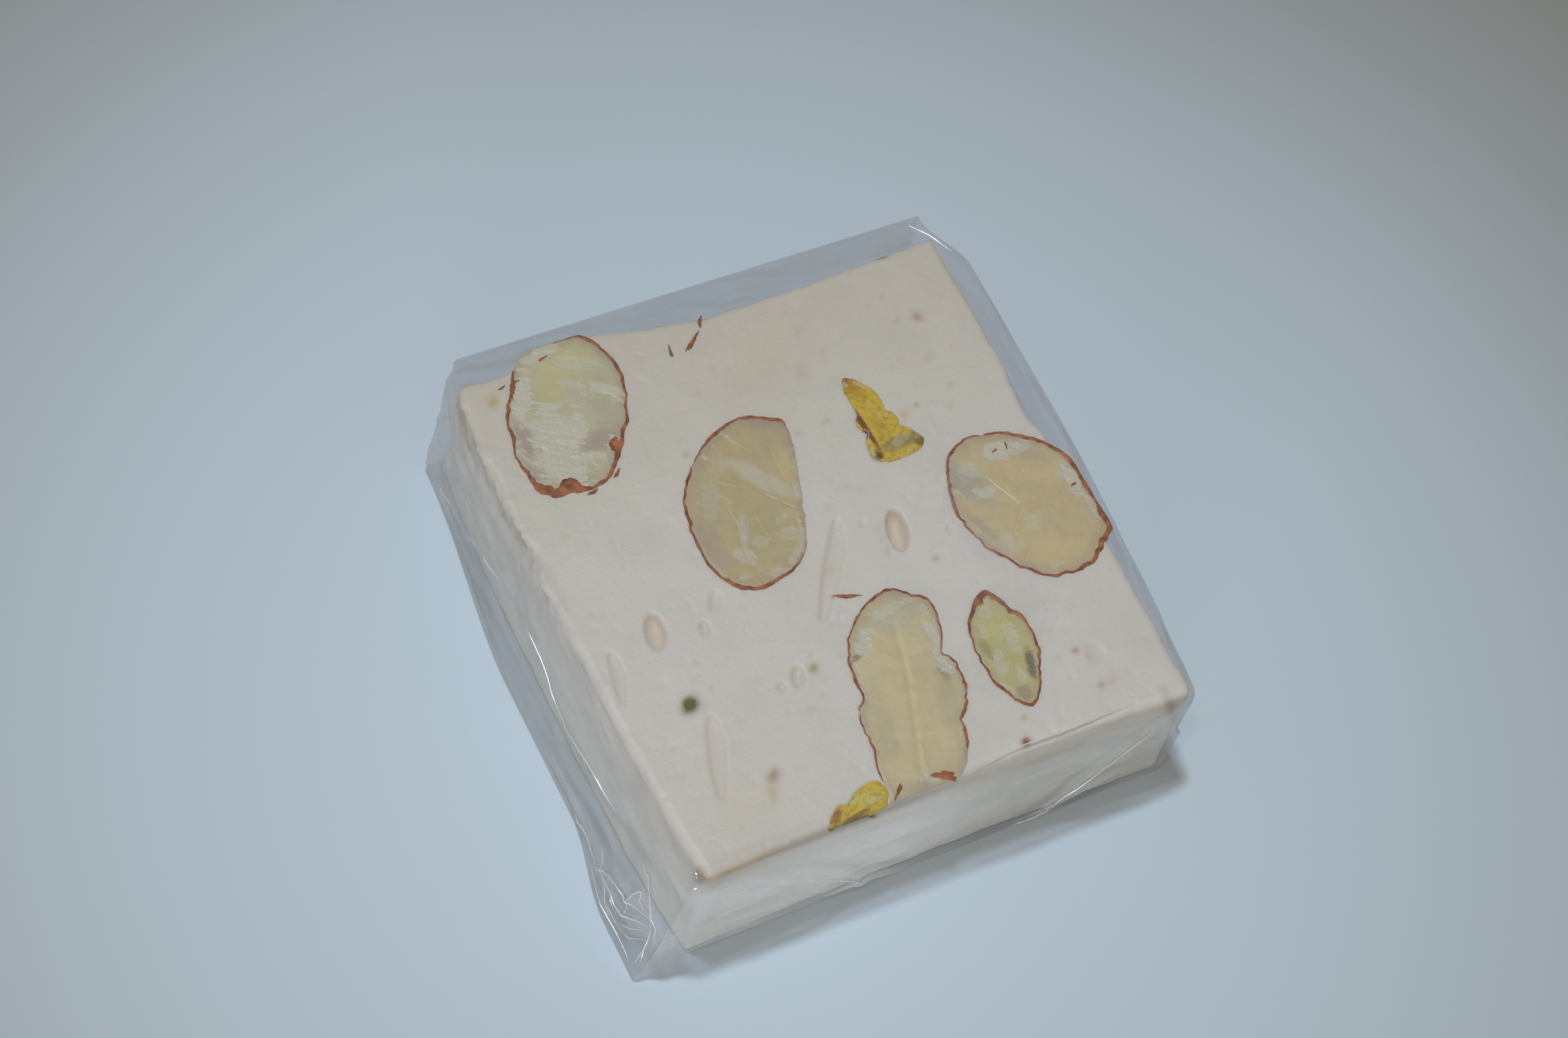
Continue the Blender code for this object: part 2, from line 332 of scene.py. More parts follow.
def whipped_nougat():
    """White nougat: egg white and honey whipped and cooked, cut with a wire-thin knife. Its
    many tiny bubbles scatter light, so it is soft, warm white and without any dark core."""
    material, tree = new_material("whipped white nougat")
    place = object_place(tree)
    knife_place = object_place(tree, (0.06, 1.0, 1.0))
    mottle = levels(tree, grain(tree, 7.0, place), 0.35, 0.7)
    base = blended(tree, mottle, socket_colour("ebe4d8"), socket_colour("e5ded2"))
    honey = levels(tree, grain(tree, 2.2, place, detail=2.0), 0.62, 0.78, 0.0, 0.35)
    base = blended(tree, honey, base, socket_colour("dcd0b6"))
    base = blended(tree, attribute(tree, "stain", "Alpha"), base, attribute(tree, "stain", "Color"))
    bubbles = grain(tree, 0.45, place, detail=3.0)
    drag = grain(tree, 0.5, knife_place, detail=3.0)
    height = add_node(tree, "ShaderNodeMath", {"operation": "ADD"}, in_0=bubbles, in_1=drag).outputs[0]
    shader = add_node(tree, "ShaderNodeBsdfPrincipled", Base_Color=base, Roughness=0.5,
                      Normal=bumped(tree, 0.5, 0.08, height))
    let_light_in(shader, 0.25, (1.0, 0.8, 0.55), 1.2)
    surface_output(tree, shader.outputs[0])
    return material


def almond_kernel():
    """The almond's cut flesh: ivory and waxy where the knife slid, whiter and fibrous where it
    broke into flakes."""
    material, tree = new_material("cut almond kernel")
    place = object_place(tree)
    fibre = grain(tree, 0.9, place, detail=4.0)
    flesh = attribute(tree, "tint", "Color")
    fibrous = levels(tree, fibre, 0.45, 0.75, 0.0, 0.25)
    flesh = blended(tree, fibrous, flesh, socket_colour("e2d4b0"), "MULTIPLY")
    flaky = levels(tree, attribute(tree, "flake", "Fac"), 0.1, 0.9, 0.0, 0.9)
    flesh = blended(tree, flaky, flesh, socket_colour("dbd5bf"))
    crumbly = levels(tree, attribute(tree, "flake", "Fac"), 0.0, 1.0, 0.12, 0.45)
    relief = bumped(tree, crumbly, 0.08, grain(tree, 0.35, place, detail=4.0))
    shader = add_node(tree, "ShaderNodeBsdfPrincipled", Base_Color=flesh, Roughness=0.42, Normal=relief)
    let_light_in(shader, 0.2, (1.0, 0.75, 0.45), 0.8)
    surface_output(tree, shader.outputs[0])
    return material


def almond_skin():
    """The almond's brown skin: papery and wrinkled, rust at its cut edge and darker in random patches."""
    material, tree = new_material("papery almond skin")
    place = object_place(tree)
    # Darker and lighter in random patches of noise, which do not follow the relief's wrinkles.
    folds = levels(tree, grain(tree, 0.8, place, detail=4.0), 0.35, 0.65)
    colour = blended(tree, folds, socket_colour("7a3d1e"), socket_colour("c2743f"))
    worn = levels(tree, grain(tree, 0.35, place), 0.6, 0.75, 0.0, 0.5)
    colour = blended(tree, worn, colour, socket_colour("cf9a62"))
    relief = bumped(tree, 0.6, 0.1, grain(tree, 0.3, place, detail=4.0))
    shader = add_node(tree, "ShaderNodeBsdfPrincipled", Base_Color=colour, Roughness=0.55, Normal=relief)
    surface_output(tree, shader.outputs[0])
    return material


def pistachio_kernel():
    """Broken pistachio: ochre-yellow, oily flesh with olive granules."""
    material, tree = new_material("broken pistachio kernel")
    place = object_place(tree)
    colour = attribute(tree, "tint", "Color")
    granules = levels(tree, grain(tree, 0.5, place, detail=4.0), 0.45, 0.7, 0.0, 0.55)
    colour = blended(tree, granules, colour, socket_colour("b09a4a"), "MULTIPLY")
    flaky = levels(tree, attribute(tree, "flake", "Fac"), 0.1, 0.9, 0.0, 0.8)
    colour = blended(tree, flaky, colour, socket_colour("d8cfa2"))
    relief = bumped(tree, 0.6, 0.1, grain(tree, 0.35, place, detail=4.0))
    shader = add_node(tree, "ShaderNodeBsdfPrincipled", Base_Color=colour, Roughness=0.4, Normal=relief)
    surface_output(tree, shader.outputs[0])
    return material


def clear_film():
    """Cast polypropylene film of 0.03 mm: nearly invisible where it lies flat, milky where it is
    creased, with sharp small highlights. Both faces reflect more at a grazing angle. Its milky and
    darker parts, read from the mesh's attributes, also carry painted highlight, sheen and shade."""
    material, tree = new_material("clear polypropylene film")
    facing = add_node(tree, "ShaderNodeLayerWeight", Blend=0.5).outputs["Facing"]
    steep = add_node(tree, "ShaderNodeMath", {"operation": "POWER"}, in_0=facing, in_1=4.0).outputs[0]
    shine = levels(tree, steep, 0.0, 1.0, 0.035, 0.30)
    # Darker where layers overlap, and partly painted shade along the left wall's creases.
    seam = attribute(tree, "seam", "Fac")
    through = blended(tree, seam, socket_colour("fdfdfe"), socket_colour("cfccc4"))
    clear = add_node(tree, "ShaderNodeBsdfTransparent", Color=through)
    back_scatter = add_node(tree, "ShaderNodeBsdfDiffuse", Color=socket_colour("f4f4f3"))
    forward_scatter = add_node(tree, "ShaderNodeBsdfTranslucent", Color=socket_colour("f4f4f3"))
    milky = add_node(tree, "ShaderNodeMixShader", in_0=0.5, in_1=back_scatter.outputs[0],
                     in_2=forward_scatter.outputs[0])
    # Milky where the film scatters, and partly painted highlight and sheen.
    haze = attribute(tree, "haze", "Fac")
    body = add_node(tree, "ShaderNodeMixShader", in_0=haze, in_1=clear.outputs[0], in_2=milky.outputs[0])
    gloss = add_node(tree, "ShaderNodeBsdfGlossy", Color=(1.0, 1.0, 1.0, 1.0), Roughness=0.07)
    mixed = add_node(tree, "ShaderNodeMixShader", in_0=shine, in_1=body.outputs[0], in_2=gloss.outputs[0])
    surface_output(tree, mixed.outputs[0])
    return material


def creased_film():
    """The same film where a sharp fold has stretched it: the plastic whitens, and its rounded
    ridge catches the lamp as a bright line. Its plain white colour is partly painted highlight,
    which stands in for the lamp's glints along the folds. The IOR stands for the fold's several
    layers, which reflect together."""
    material, tree = new_material("stress-whitened film fold")
    # Painted highlight: white, so that the folds show as bright lines.
    shader = add_node(tree, "ShaderNodeBsdfPrincipled", Base_Color=socket_colour("ffffff"), Roughness=0.16,
                      Alpha=0.85, IOR=4.0)
    surface_output(tree, shader.outputs[0])
    return material


# ---- nuts' outlines, read from the CAD nodes ---------------------------------------------

RING = 480  # points round a nut
FACE_RINGS = 72  # from a nut's centre to its outline
BOWL_RINGS = 8
SKIN_SIDES = 8  # points round the section of a skin
TEAR = -28.0  # degrees from +X: the way that broken almond flesh tears
TURNS = np.linspace(-np.pi, np.pi, RING, endpoint=False)


def ring_blur(values, degrees):
    """Values round a ring, each averaged with its neighbours by a bell curve of that spread."""
    weight = np.exp(-0.5 * (TURNS / np.radians(degrees)) ** 2)
    weight = np.fft.ifftshift(weight / weight.sum())
    return np.real(np.fft.ifft(np.fft.fft(values) * np.fft.fft(weight)))


def bell(angle, spread):
    """A bell curve round a nut, 1 at angle degrees and 0.37 at spread degrees from it."""
    gap = np.angle(np.exp(1j * (TURNS - np.radians(angle))))
    return np.exp(-((gap / np.radians(spread)) ** 2))


def nut_outline(name):
    """Centre and radius round a nut's cut face: the CAD node's own top edge, joined by straight
    lines between its corners and softened by a few degrees."""
    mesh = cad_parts[name].data
    points = np.empty(len(mesh.vertices) * 3, np.float32)
    mesh.vertices.foreach_get("co", points)
    points = points.reshape(-1, 3) / MM
    centre = points[points[:, 2].argmin(), :2]
    spokes = points[points[:, 2] > points[:, 2].max() - 0.01, :2] - centre
    reach = np.hypot(spokes[:, 0], spokes[:, 1])
    angle = np.arctan2(spokes[:, 1], spokes[:, 0])
    order = np.argsort(angle)
    order = order[reach[order] > 0.2]
    radius = np.interp(TURNS, angle[order], reach[order], period=2 * np.pi)
    return centre, ring_blur(radius, 2.0)


def cut_straight(centre, radius, cuts):
    """Holds the radius back at straight cuts, each a direction in degrees and a distance from the
    origin: r is at most room / cos(angle to the cut)."""
    for direction, distance in cuts:
        angle = np.radians(direction)
        toward = np.cos(TURNS - angle)
        room = distance - centre @ np.array((np.cos(angle), np.sin(angle)))
        radius = np.where(toward > 0.05, np.minimum(radius, room / np.maximum(toward, 0.05)), radius)
    return radius


Nut = namedtuple("Nut", "name wobble cuts dents depth base tones flakes cracks skin")

# cuts: straight sides (direction in degrees, distance from the origin).
# dents: local changes of the outline (angle round the nut, spread, amount outward).
# tones: patches of colour (centre, half length, half width, tilt, strength, colour).
# flakes: ragged whitish broken patches (centre, half length, half width, tilt, strength).
# cracks: splits in the flesh (line, width, depth).
# skin: (angle in degrees round the nut, spread, width inward, width outward), on top of the
# base width; a negative width takes the skin away.
NUTS = (
    Nut("almond_far_left", 0.14, ((90, 26.1),),
        ((-172, 10, -0.3), (-128, 12, 0.3), (-45, 12, -0.3), (90, 12, 0.2), (142, 14, -0.3)),
        4.5, "d1caa9",
        (((-13.4, 24.2), 4.0, 2.6, 20, 0.9, "d8cf9e"), ((-15.9, 21.8), 2.2, 1.5, 60, 0.8, "d8cc98"),
         ((-12.3, 18.0), 3.6, 1.6, 78, 0.5, "c2b9a4"), ((-19.9, 18.0), 2.6, 0.8, 80, 0.8, "b8a899"),
         ((-14.2, 15.6), 2.2, 1.2, 10, 0.7, "b9aa9a"), ((-20.6, 14.6), 1.6, 1.0, 130, 0.6, "c2b2a4")),
        (((-17.9, 16.6), 4.0, 2.0, 80, 1.0), ((-17.6, 14.0), 2.2, 1.7, 60, 1.0),
         ((-15.4, 14.6), 1.6, 0.6, -25, 1.0), ((-17.0, 19.3), 1.9, 0.6, -28, 1.0),
         ((-18.3, 22.4), 2.4, 1.0, 70, 0.9), ((-11.6, 20.1), 1.8, 0.7, -30, 0.8),
         ((-13.0, 14.9), 1.5, 0.7, 70, 0.9), ((-15.3, 25.4), 2.4, 0.6, 10, 0.8),
         ((-13.9, 21.4), 1.6, 0.6, -28, 0.5), ((-16.0, 16.8), 3.0, 1.2, 60, 0.9),
         ((-19.4, 20.6), 1.6, 0.7, 80, 0.7), ((-12.8, 23.4), 2.4, 0.8, -25, 0.5)),
        (),
        ((-118, 17, 0.9, 0.15), (-84, 11, 0.4, 0.0), (-64, 14, 1.0, 0.1), (-5, 40, 0.08, 0.02),
         (100, 24, -0.3, -0.3), (128, 10, 0.15, 0.0))),
    Nut("almond_centre", 0.10, ((-18.4, -1.5),), ((14, 9, 0.6), (45, 7, 0.5)), 4.5, "cfbd8e",
        (((-1.3, 10.6), 3.4, 2.4, 10, 0.7, "cbbb92"), ((0.4, 7.5), 2.4, 1.5, 85, 0.9, "dac795"),
         ((-8.0, 6.6), 3.4, 1.3, 70, 0.8, "c3b594"), ((-9.4, 2.8), 3.2, 1.2, 95, 0.6, "bfae9c"),
         ((-5.0, 3.0), 3.8, 3.0, 60, 0.7, "c7b78d"), ((-2.4, 7.0), 3.8, 1.0, -52, 1.0, "d8ceb2"),
         ((-6.4, 3.2), 2.2, 0.4, 70, 0.7, "d2caae")),
        (((-7.8, 7.0), 2.2, 0.9, 65, 0.3), ((-3.6, 8.8), 1.2, 0.8, -50, 0.3),
         ((-7.2, 0.9), 1.1, 0.8, -50, 0.6), ((-5.5, 1.7), 0.9, 0.6, 0, 0.45),
         ((-2.7, 1.7), 1.3, 0.7, -20, 0.45), ((-2.8, 3.1), 0.8, 0.6, 20, 0.4),
         ((-6.2, 3.6), 1.8, 0.5, 70, 0.3), ((-5.6, 9.8), 1.8, 0.8, 55, 0.35)),
        ((((-6.4, 8.2), (-3.6, 6.4), (-0.2, 2.6)), 0.07, 0.04),
         (((-0.6, 10.2), (-0.8, 6.4)), 0.06, 0.03)),
        ((-125, 16, 0.2, 0.1), (52, 9, 0.15, 0.1), (-20, 34, -0.6, -0.6), (5, 28, -0.6, -0.6))),
    Nut("almond_right", 0.16, ((0, 23.9),), ((-105, 12, 0.35), (-22, 12, 0.3)), 4.7, "ddca9e",
        (((18.8, -8.4), 3.6, 1.6, 170, 0.7, "e2cf9c"), ((14.3, 0.6), 3.2, 1.6, 115, 0.9, "c3bba6"),
         ((17.6, -5.2), 1.6, 0.9, 20, 0.8, "ddd2ae"), ((14.4, -5.8), 1.6, 1.0, 60, 0.7, "d9d0b4"),
         ((20.8, 1.2), 2.2, 0.9, 140, 0.5, "c4b5a2"), ((13.4, -4.0), 2.0, 0.6, 110, 0.6, "bcae98")),
        (((18.0, 2.5), 2.2, 0.9, 170, 1.0), ((22.9, -2.4), 1.9, 0.9, 100, 1.0),
         ((15.1, -0.8), 1.1, 0.55, -10, 0.8), ((14.8, 1.7), 1.2, 0.7, 100, 0.6),
         ((15.0, -6.6), 1.0, 0.7, 0, 0.4), ((23.4, -5.4), 1.2, 0.5, 95, 0.6),
         ((19.6, 2.0), 1.6, 0.6, 170, 0.7)),
        ((((15.9, 0.2), (17.4, -3.0), (20.6, -3.4)), 0.10, 0.05),
         (((17.4, -3.2), (15.4, -5.6)), 0.08, 0.04)),
        ((-70, 16, 0.1, 0.1), (-35, 9, 0.25, 0.2), (-6, 8, 0.2, 0.1), (20, 16, 0.1, 0.1))),
    Nut("almond_near", 0.22, ((-90, 24.15),),
        ((30, 10, -1.1), (49, 8, 0.8), (150, 10, -0.45), (-150, 12, -0.45), (-112, 16, 0.5),
         (-45, 12, -0.45)),
        4.2, "e0d1a5",
        (((2.0, -8.8), 3.2, 1.4, 0, 0.6, "cfc8b0"), ((-3.6, -18.0), 4.8, 1.1, 75, 0.35, "c6ba9c"),
         ((2.6, -17.6), 4.8, 1.2, 70, 0.35, "c6ba9c"), ((3.6, -14.9), 1.6, 0.5, 80, 0.6, "b09f8c"),
         ((-2.9, -11.2), 1.0, 0.3, 20, 0.7, "8a7868"), ((-0.9, -18.5), 5.0, 1.0, 72, 0.5, "e2cf9c")),
        (((-1.7, -10.2), 1.5, 0.8, 50, 1.0), ((4.2, -11.6), 1.8, 0.6, 100, 0.9),
         ((3.8, -14.2), 1.6, 0.5, 100, 0.9), ((1.8, -8.2), 2.2, 0.6, 10, 0.7),
         ((-3.4, -12.4), 1.2, 0.3, 80, 0.6)),
        ((((1.6, -9.6), (0.4, -14.5), (-2.6, -22.6)), 0.32, 0.07),),
        ((-93, 20, -1.2, -1.2), (-58, 6, 0.35, 0.15), (80, 20, 0.05, 0.05))),
    Nut("almond_small", 0.15, (), ((-120, 10, -0.3), (60, 10, -0.3)), 2.8, "d1c88f",
        (((9.9, -12.8), 2.2, 1.2, 70, 0.9, "d6cf92"), ((10.9, -17.0), 2.0, 0.6, 75, 1.0, "8e8070"),
         ((7.9, -14.6), 1.6, 0.5, 90, 0.7, "b3a87a"), ((9.0, -19.4), 1.2, 0.7, 70, 0.8, "b3a380")),
        (((10.4, -14.6), 1.5, 0.7, 80, 0.6), ((8.4, -16.2), 1.4, 0.6, 70, 0.6),
         ((9.6, -11.0), 1.1, 0.6, 60, 0.55), ((9.4, -18.0), 1.0, 0.5, 80, 0.6),
         ((8.4, -13.0), 0.9, 0.4, 80, 0.5)),
        (),
        ((85, 20, 0.45, 0.2), (45, 16, 0.2, 0.1), (-30, 30, 0.15, 0.05), (170, 40, 0.05, 0.05))),
    Nut("pistachio_wedge", 0.12, (),
        ((-160, 24, -0.9), (-22, 16, -0.75), (125, 18, -0.5), (45, 18, -0.45)), 3.0, "e2c03a",
        (((9.0, 12.8), 2.2, 1.2, 100, 0.8, "c7992c"), ((10.4, 6.3), 0.8, 2.6, 90, 0.9, "a59a58"),
         ((8.0, 5.7), 0.7, 0.7, 0, 1.0, "6e5424"), ((12.3, 5.7), 0.7, 0.5, 0, 0.9, "8a6a34"),
         ((8.15, 9.4), 4.6, 0.35, 94, 1.0, "8a4f28"), ((8.7, 14.0), 0.9, 0.6, 70, 0.9, "9c6420")),
        (((10.6, 6.6), 0.9, 0.5, 20, 0.45), ((9.8, 9.6), 1.6, 0.3, 100, 0.25)),
        (),
        None),
    Nut("pistachio_edge", 0.26, ((-90, 24.2),),
        ((90, 34, -0.4), (-125, 15, -0.4), (20, 18, 0.9)), 2.2, "e4c640",
        (((-11.0, -23.6), 1.0, 0.6, 40, 0.9, "a8702c"), ((-8.0, -23.0), 1.6, 0.6, 0, 0.6, "e6d87c"),
         ((-9.6, -24.2), 2.0, 0.3, 10, 0.8, "8a6a28")),
        (((-7.4, -23.4), 1.2, 0.4, 10, 0.6),),
        (),
        None),
)


def nut_radius(nut, centre, radius):
    """The outline with its dents as bell curves and small uneven scallops, and last its
    straight cuts."""
    for angle, spread, amount in nut.dents:
        radius = radius + amount * bell(angle, spread)
    rim = centre + np.stack([np.cos(TURNS), np.sin(TURNS)], axis=1) * radius[:, None]
    scallops = rough_noise(rim, 1.5, 40 + len(nut.name), 3) + rough_noise(rim, 4.0, 70)
    scallops += 0.9 * rough_noise(rim, 0.7, 44, 2)
    return cut_straight(centre, radius + nut.wobble * scallops, nut.cuts)


OUTLINES = {nut.name: nut_outline(nut.name) for nut in NUTS}
OUTLINES = {nut.name: (OUTLINES[nut.name][0], nut_radius(nut, *OUTLINES[nut.name])) for nut in NUTS}


def nut_share(name, x, y):
    """How far out each place is from a nut's centre: 1 at its outline."""
    centre, radius = OUTLINES[name]
    away = np.hypot(x - centre[0], y - centre[1])
    turn = np.arctan2(y - centre[1], x - centre[0])
    return away / np.interp(turn, TURNS, radius, period=2 * np.pi)


def patch(x, y, centre, half_length, half_width, tilt):
    """A soft spot: e to the minus squared distance, in half lengths and half widths."""
    ahead, aside = turned(x, y, centre, tilt)
    return np.exp(-((ahead / half_length) ** 2) - (aside / half_width) ** 2)


def shards(flat, size, seed):
    """A random value from 0 to 1 for each broken facet: six tenths of large ones and four
    tenths of small ones, all drawn out along the way that the flesh tears."""
    torn = np.stack(turned(flat[..., 0], flat[..., 1], (0, 0), TEAR), axis=-1) / (2.4, 0.6)
    return 0.6 * plates(torn, size, seed)[1] + 0.4 * plates(torn, 0.4 * size, seed + 60)[1]


def nut_looks(nut, x, y):
    """Colour and flakiness over a nut. A patch takes in each facet whose random value lies
    below the patch's soft spot there, which leaves an edge of torn tongues and splinters. Near
    the skin the flesh is glassy and pinkish grey, with broken white crumbs."""
    flat = np.stack([x, y], axis=-1)
    share_out = nut_share(nut.name, x, y)
    tint = np.tile(linear(nut.base), (*x.shape, 1))
    facets = shards(flat, 1.9, 9)
    for centre, half_length, half_width, tilt, strength, colour in nut.tones:
        spot = patch(x, y, centre, half_length, half_width, tilt)
        share = strength * ease((1.15 * spot - 0.45 * facets - 0.1) / 0.6)[..., None]
        tint = between(tint, linear(colour), share)
    if nut.skin is not None:
        glassy = ease((share_out - 0.78) / 0.2) * (0.5 + 0.35 * rough_noise(flat, 3.0, 77, 3))
        tint = between(tint, linear("b9a596"), np.clip(glassy, 0, 1)[..., None])
    light = plates(flat, 3.4, 51)[1]
    tint = tint * (0.94 + 0.06 * light + 0.05 * facets)[..., None]
    splinters = shards(flat, 0.9, 5) + 0.08 * rough_noise(flat, 0.5, 7, 2)
    flake = np.zeros(x.shape)
    for centre, half_length, half_width, tilt, strength in nut.flakes:
        spot = patch(x, y, centre, half_length, half_width, tilt)
        flake = np.maximum(flake, strength * ease((1.3 * spot - 0.1 - splinters) / 0.1))
    band = ease((share_out - 0.80) / 0.08) * ease((1.0 - share_out) / 0.04)
    crumbs = ease((rough_noise(flat, 0.9, 33, 4) + 0.6 * rough_noise(flat, 5.0, 35, 2) - 0.32) / 0.1)
    flake = np.maximum(flake, 0.6 * band * crumbs)
    return np.clip(tint, 0, 1), flake


def make_nut(nut, material):
    """A nut as rings round its centre: the cut face with its broken relief, then a bowl below,
    where z falls as the square root of 1 - share^2."""
    centre, radius = OUTLINES[nut.name]
    shares = np.linspace(0, 1, FACE_RINGS + 1)[1:]
    bowl = np.linspace(0, np.pi / 2, BOWL_RINGS + 1)[1:-1]
    scale = np.concatenate([shares, np.cos(bowl)])[:, None]
    x = centre[0] + scale * radius * np.cos(TURNS)
    y = centre[1] + scale * radius * np.sin(TURNS)
    tint, flake = nut_looks(nut, x, y)
    flat = np.stack([x, y], axis=-1)
    splinters = 0.8 * shards(flat, 0.9, 5) + 0.3 * np.abs(rough_noise(flat, 0.5, 17, 3))
    relief = 0.05 * plates(flat, 3.4, 51)[0] - 0.03 + 0.015 * rough_noise(flat, 1.2, 21, 3)
    relief = relief - 0.12 * flake * splinters
    for line, width, depth in nut.cracks:
        relief = relief - depth * np.exp(-((line_distance(x, y, line)[0] / width) ** 2))
    lip = 0.05 * ease((scale - 0.93) / 0.07)
    z = SURFACE + 0.03 + relief - lip
    z[FACE_RINGS:] = z[FACE_RINGS - 1] - nut.depth * np.sin(bowl)[:, None]
    rings = np.stack([x, y, z], axis=-1).reshape(-1, 3)
    crown = np.array([[*centre, SURFACE + 0.03]])
    foot = np.array([[*centre, SURFACE - nut.depth - 0.05]])
    points = np.concatenate([rings, crown, foot])
    first = np.arange(RING)
    last = first + len(rings) - RING
    faces = [
        ring_faces(len(scale), RING),
        fan(len(rings), first),
        fan(len(rings) + 1, last, flipped=True),
    ]
    ends_tint, ends_flake = nut_looks(nut, points[-2:, 0], points[-2:, 1])
    tint = np.concatenate([tint.reshape(-1, 3), ends_tint])
    values = {
        "tint": np.concatenate([tint, np.ones((len(tint), 1))], axis=1),
        "flake": np.concatenate([flake.ravel(), ends_flake]),
    }
    return add_piece(nut.name + "_kernel", points, faces, material, nut.name, values)


FAR_SKIN = 26.05  # no skin stands out of the block beyond this y


def make_skin(nut, material):
    """The brown skin seen edge-on: a closed ring with a flat section of eight points, along the
    nut's outline. Its width is the base width plus bell-shaped changes round the nut, and where
    the width runs out it sinks below the surface."""
    centre, radius = OUTLINES[nut.name]
    rim = centre + np.stack([np.cos(TURNS), np.sin(TURNS)], axis=1) * radius[:, None]
    uneven = rough_noise(rim, 1.1, 63, 3) + 0.7 * rough_noise(rim, 3.2, 67, 2)
    inward = 0.17 + 0.24 * uneven
    outside = 0.09 + 0.10 * rough_noise(rim, 0.8, 71, 3)
    for angle, spread, more_in, more_out in nut.skin:
        lobe = bell(angle, spread)
        inward = inward + more_in * lobe * (1 + 0.9 * rough_noise(rim, 0.9, 81, 4))
        outside = outside + more_out * lobe
    present = ease((inward + outside - 0.04) / 0.06)
    inward = np.maximum(inward, 0.02)
    outside = np.maximum(outside, 0.02)
    section = np.linspace(0, 2 * np.pi, SKIN_SIDES, endpoint=False)[:, None]
    side = np.cos(section)
    reach = radius - 0.6 * (1 - present) + np.where(side > 0, outside * side, inward * side)
    crest = SURFACE - 0.02 - 0.5 * (1 - present)
    depth = np.where(np.sin(section) > 0, 0.06, 0.45)
    x = centre[0] + reach * np.cos(TURNS)
    y = np.minimum(centre[1] + reach * np.sin(TURNS), FAR_SKIN)
    z = crest + depth * (np.sin(section) - 0.4)
    z += 0.03 * rough_noise(np.stack([x, y], axis=-1), 0.6, 91, 2)
    points = np.stack([x, y, z], axis=-1).reshape(-1, 3)
    faces = ring_faces(SKIN_SIDES + 1, RING) % len(points)
    return add_piece(nut.name + "_skin", points, [faces], material)


# ---- nougat ------------------------------------------------------------------------------

NOUGAT_RADIUS = 0.75  # of the top edges and the corners
NOUGAT_FOOT_RADIUS = 0.3
NOUGAT_LEFT_PULL = 1.0  # the left side's ends lie this far in
NOUGAT_RIGHT_PULL = 0.5  # the right side's near end lies this far in
NOUGAT_SPREAD = 0.6  # the near and far sides' ends stand out by this much
NOUGAT_NEAR_SLOPE = 0.55  # the near side's foot stands out by this much

# Open bubbles in the cut face: (centre), half width, half length, tilt, depth.
PORES = (
    ((6.2, -1.4), 0.95, 2.1, 75, 1.3),
    ((-17.5, -2.8), 0.95, 1.8, 75, 0.8),
    ((-13.5, -4.0), 0.5, 0.8, 75, 0.4),
    ((-11.6, -2.0), 0.6, 1.2, 60, 0.3),
    ((-8.2, -10.9), 0.6, 1.1, 65, 0.5),
    ((-9.9, -11.3), 0.45, 0.5, 65, 0.35),
    ((16.6, -18.2), 0.95, 1.1, 80, 0.22),
    ((10.5, -2.9), 0.3, 0.5, 60, 0.3),
    ((3.6, 0.3), 0.3, 0.4, 60, 0.2),
    ((4.5, -3.1), 0.3, 0.35, 60, 0.2),
    ((5.6, 15.9), 0.4, 0.4, 0, 0.15),
    ((18.0, 17.4), 0.45, 0.45, 0, 0.15),
    ((19.8, 13.8), 0.3, 0.3, 0, 0.15),
)
# Stretched bubbles: a line, its width and depth.
GROOVES = (
    (((-16.6, -11.7), (-17.4, -14.2), (-18.9, -18.2)), 1.7, 0.35),
    (((-21.9, -3.4), (-22.1, -5.4), (-22.8, -7.6)), 1.3, 0.3),
    (((1.6, 1.2), (0.6, -0.8), (-1.2, -3.3), (-3.6, -6.6)), 1.7, 0.4),
)
# Stains: (centre), half length, half width, tilt, strength, colour.
STAINS = (
    ((-17.8, -10.0), 0.75, 0.6, 30, 1.6, "6e6412"),
    ((-14.2, -18.4), 0.7, 0.5, 40, 0.8, "b98a6a"),
    ((-15.0, -19.8), 0.8, 0.5, 70, 0.6, "d9c489"),
    ((7.0, -23.4), 0.45, 0.35, 20, 1.2, "a05a3a"),
    ((7.9, -21.4), 0.4, 0.3, 0, 0.7, "d8c078"),
    ((8.0, -5.1), 0.4, 0.3, 0, 0.5, "c8a878"),
    ((15.1, -17.4), 0.35, 0.3, 0, 0.8, "d09a60"),
    ((15.6, -21.1), 0.4, 0.3, 0, 0.6, "c9a070"),
    ((-20.9, 22.4), 0.6, 0.5, 60, 0.8, "cdb45e"),
    ((-6.6, -10.7), 0.5, 0.4, 40, 0.9, "b8a65a"),
    ((12.1, 8.8), 0.6, 0.4, 10, 0.7, "d8c690"),
    ((13.6, 9.2), 0.3, 0.2, 0, 0.7, "c89080"),
    ((2.4, 10.3), 0.4, 0.3, 0, 0.5, "d6bf92"),
    ((5.4, 10.5), 0.4, 0.3, 0, 0.5, "d6bf92"),
    ((-7.6, 11.8), 0.4, 0.3, 0, 0.5, "cdb07e"),
    ((18.0, 17.4), 0.6, 0.5, 0, 0.7, "bb9a80"),
    ((5.6, 15.9), 0.7, 0.7, 0, 0.35, "cdb898"),
    ((18.0, 24.3), 0.7, 0.3, 0, 1.0, "a86f46"),
    ((-0.3, 24.2), 0.7, 0.4, 0, 1.0, "a8724a"),
    ((3.0, 18.0), 5.0, 3.0, 20, 0.18, "ddc9a0"),
    ((-18.0, -20.0), 5.0, 3.0, 40, 0.15, "ddc9a0"),
)


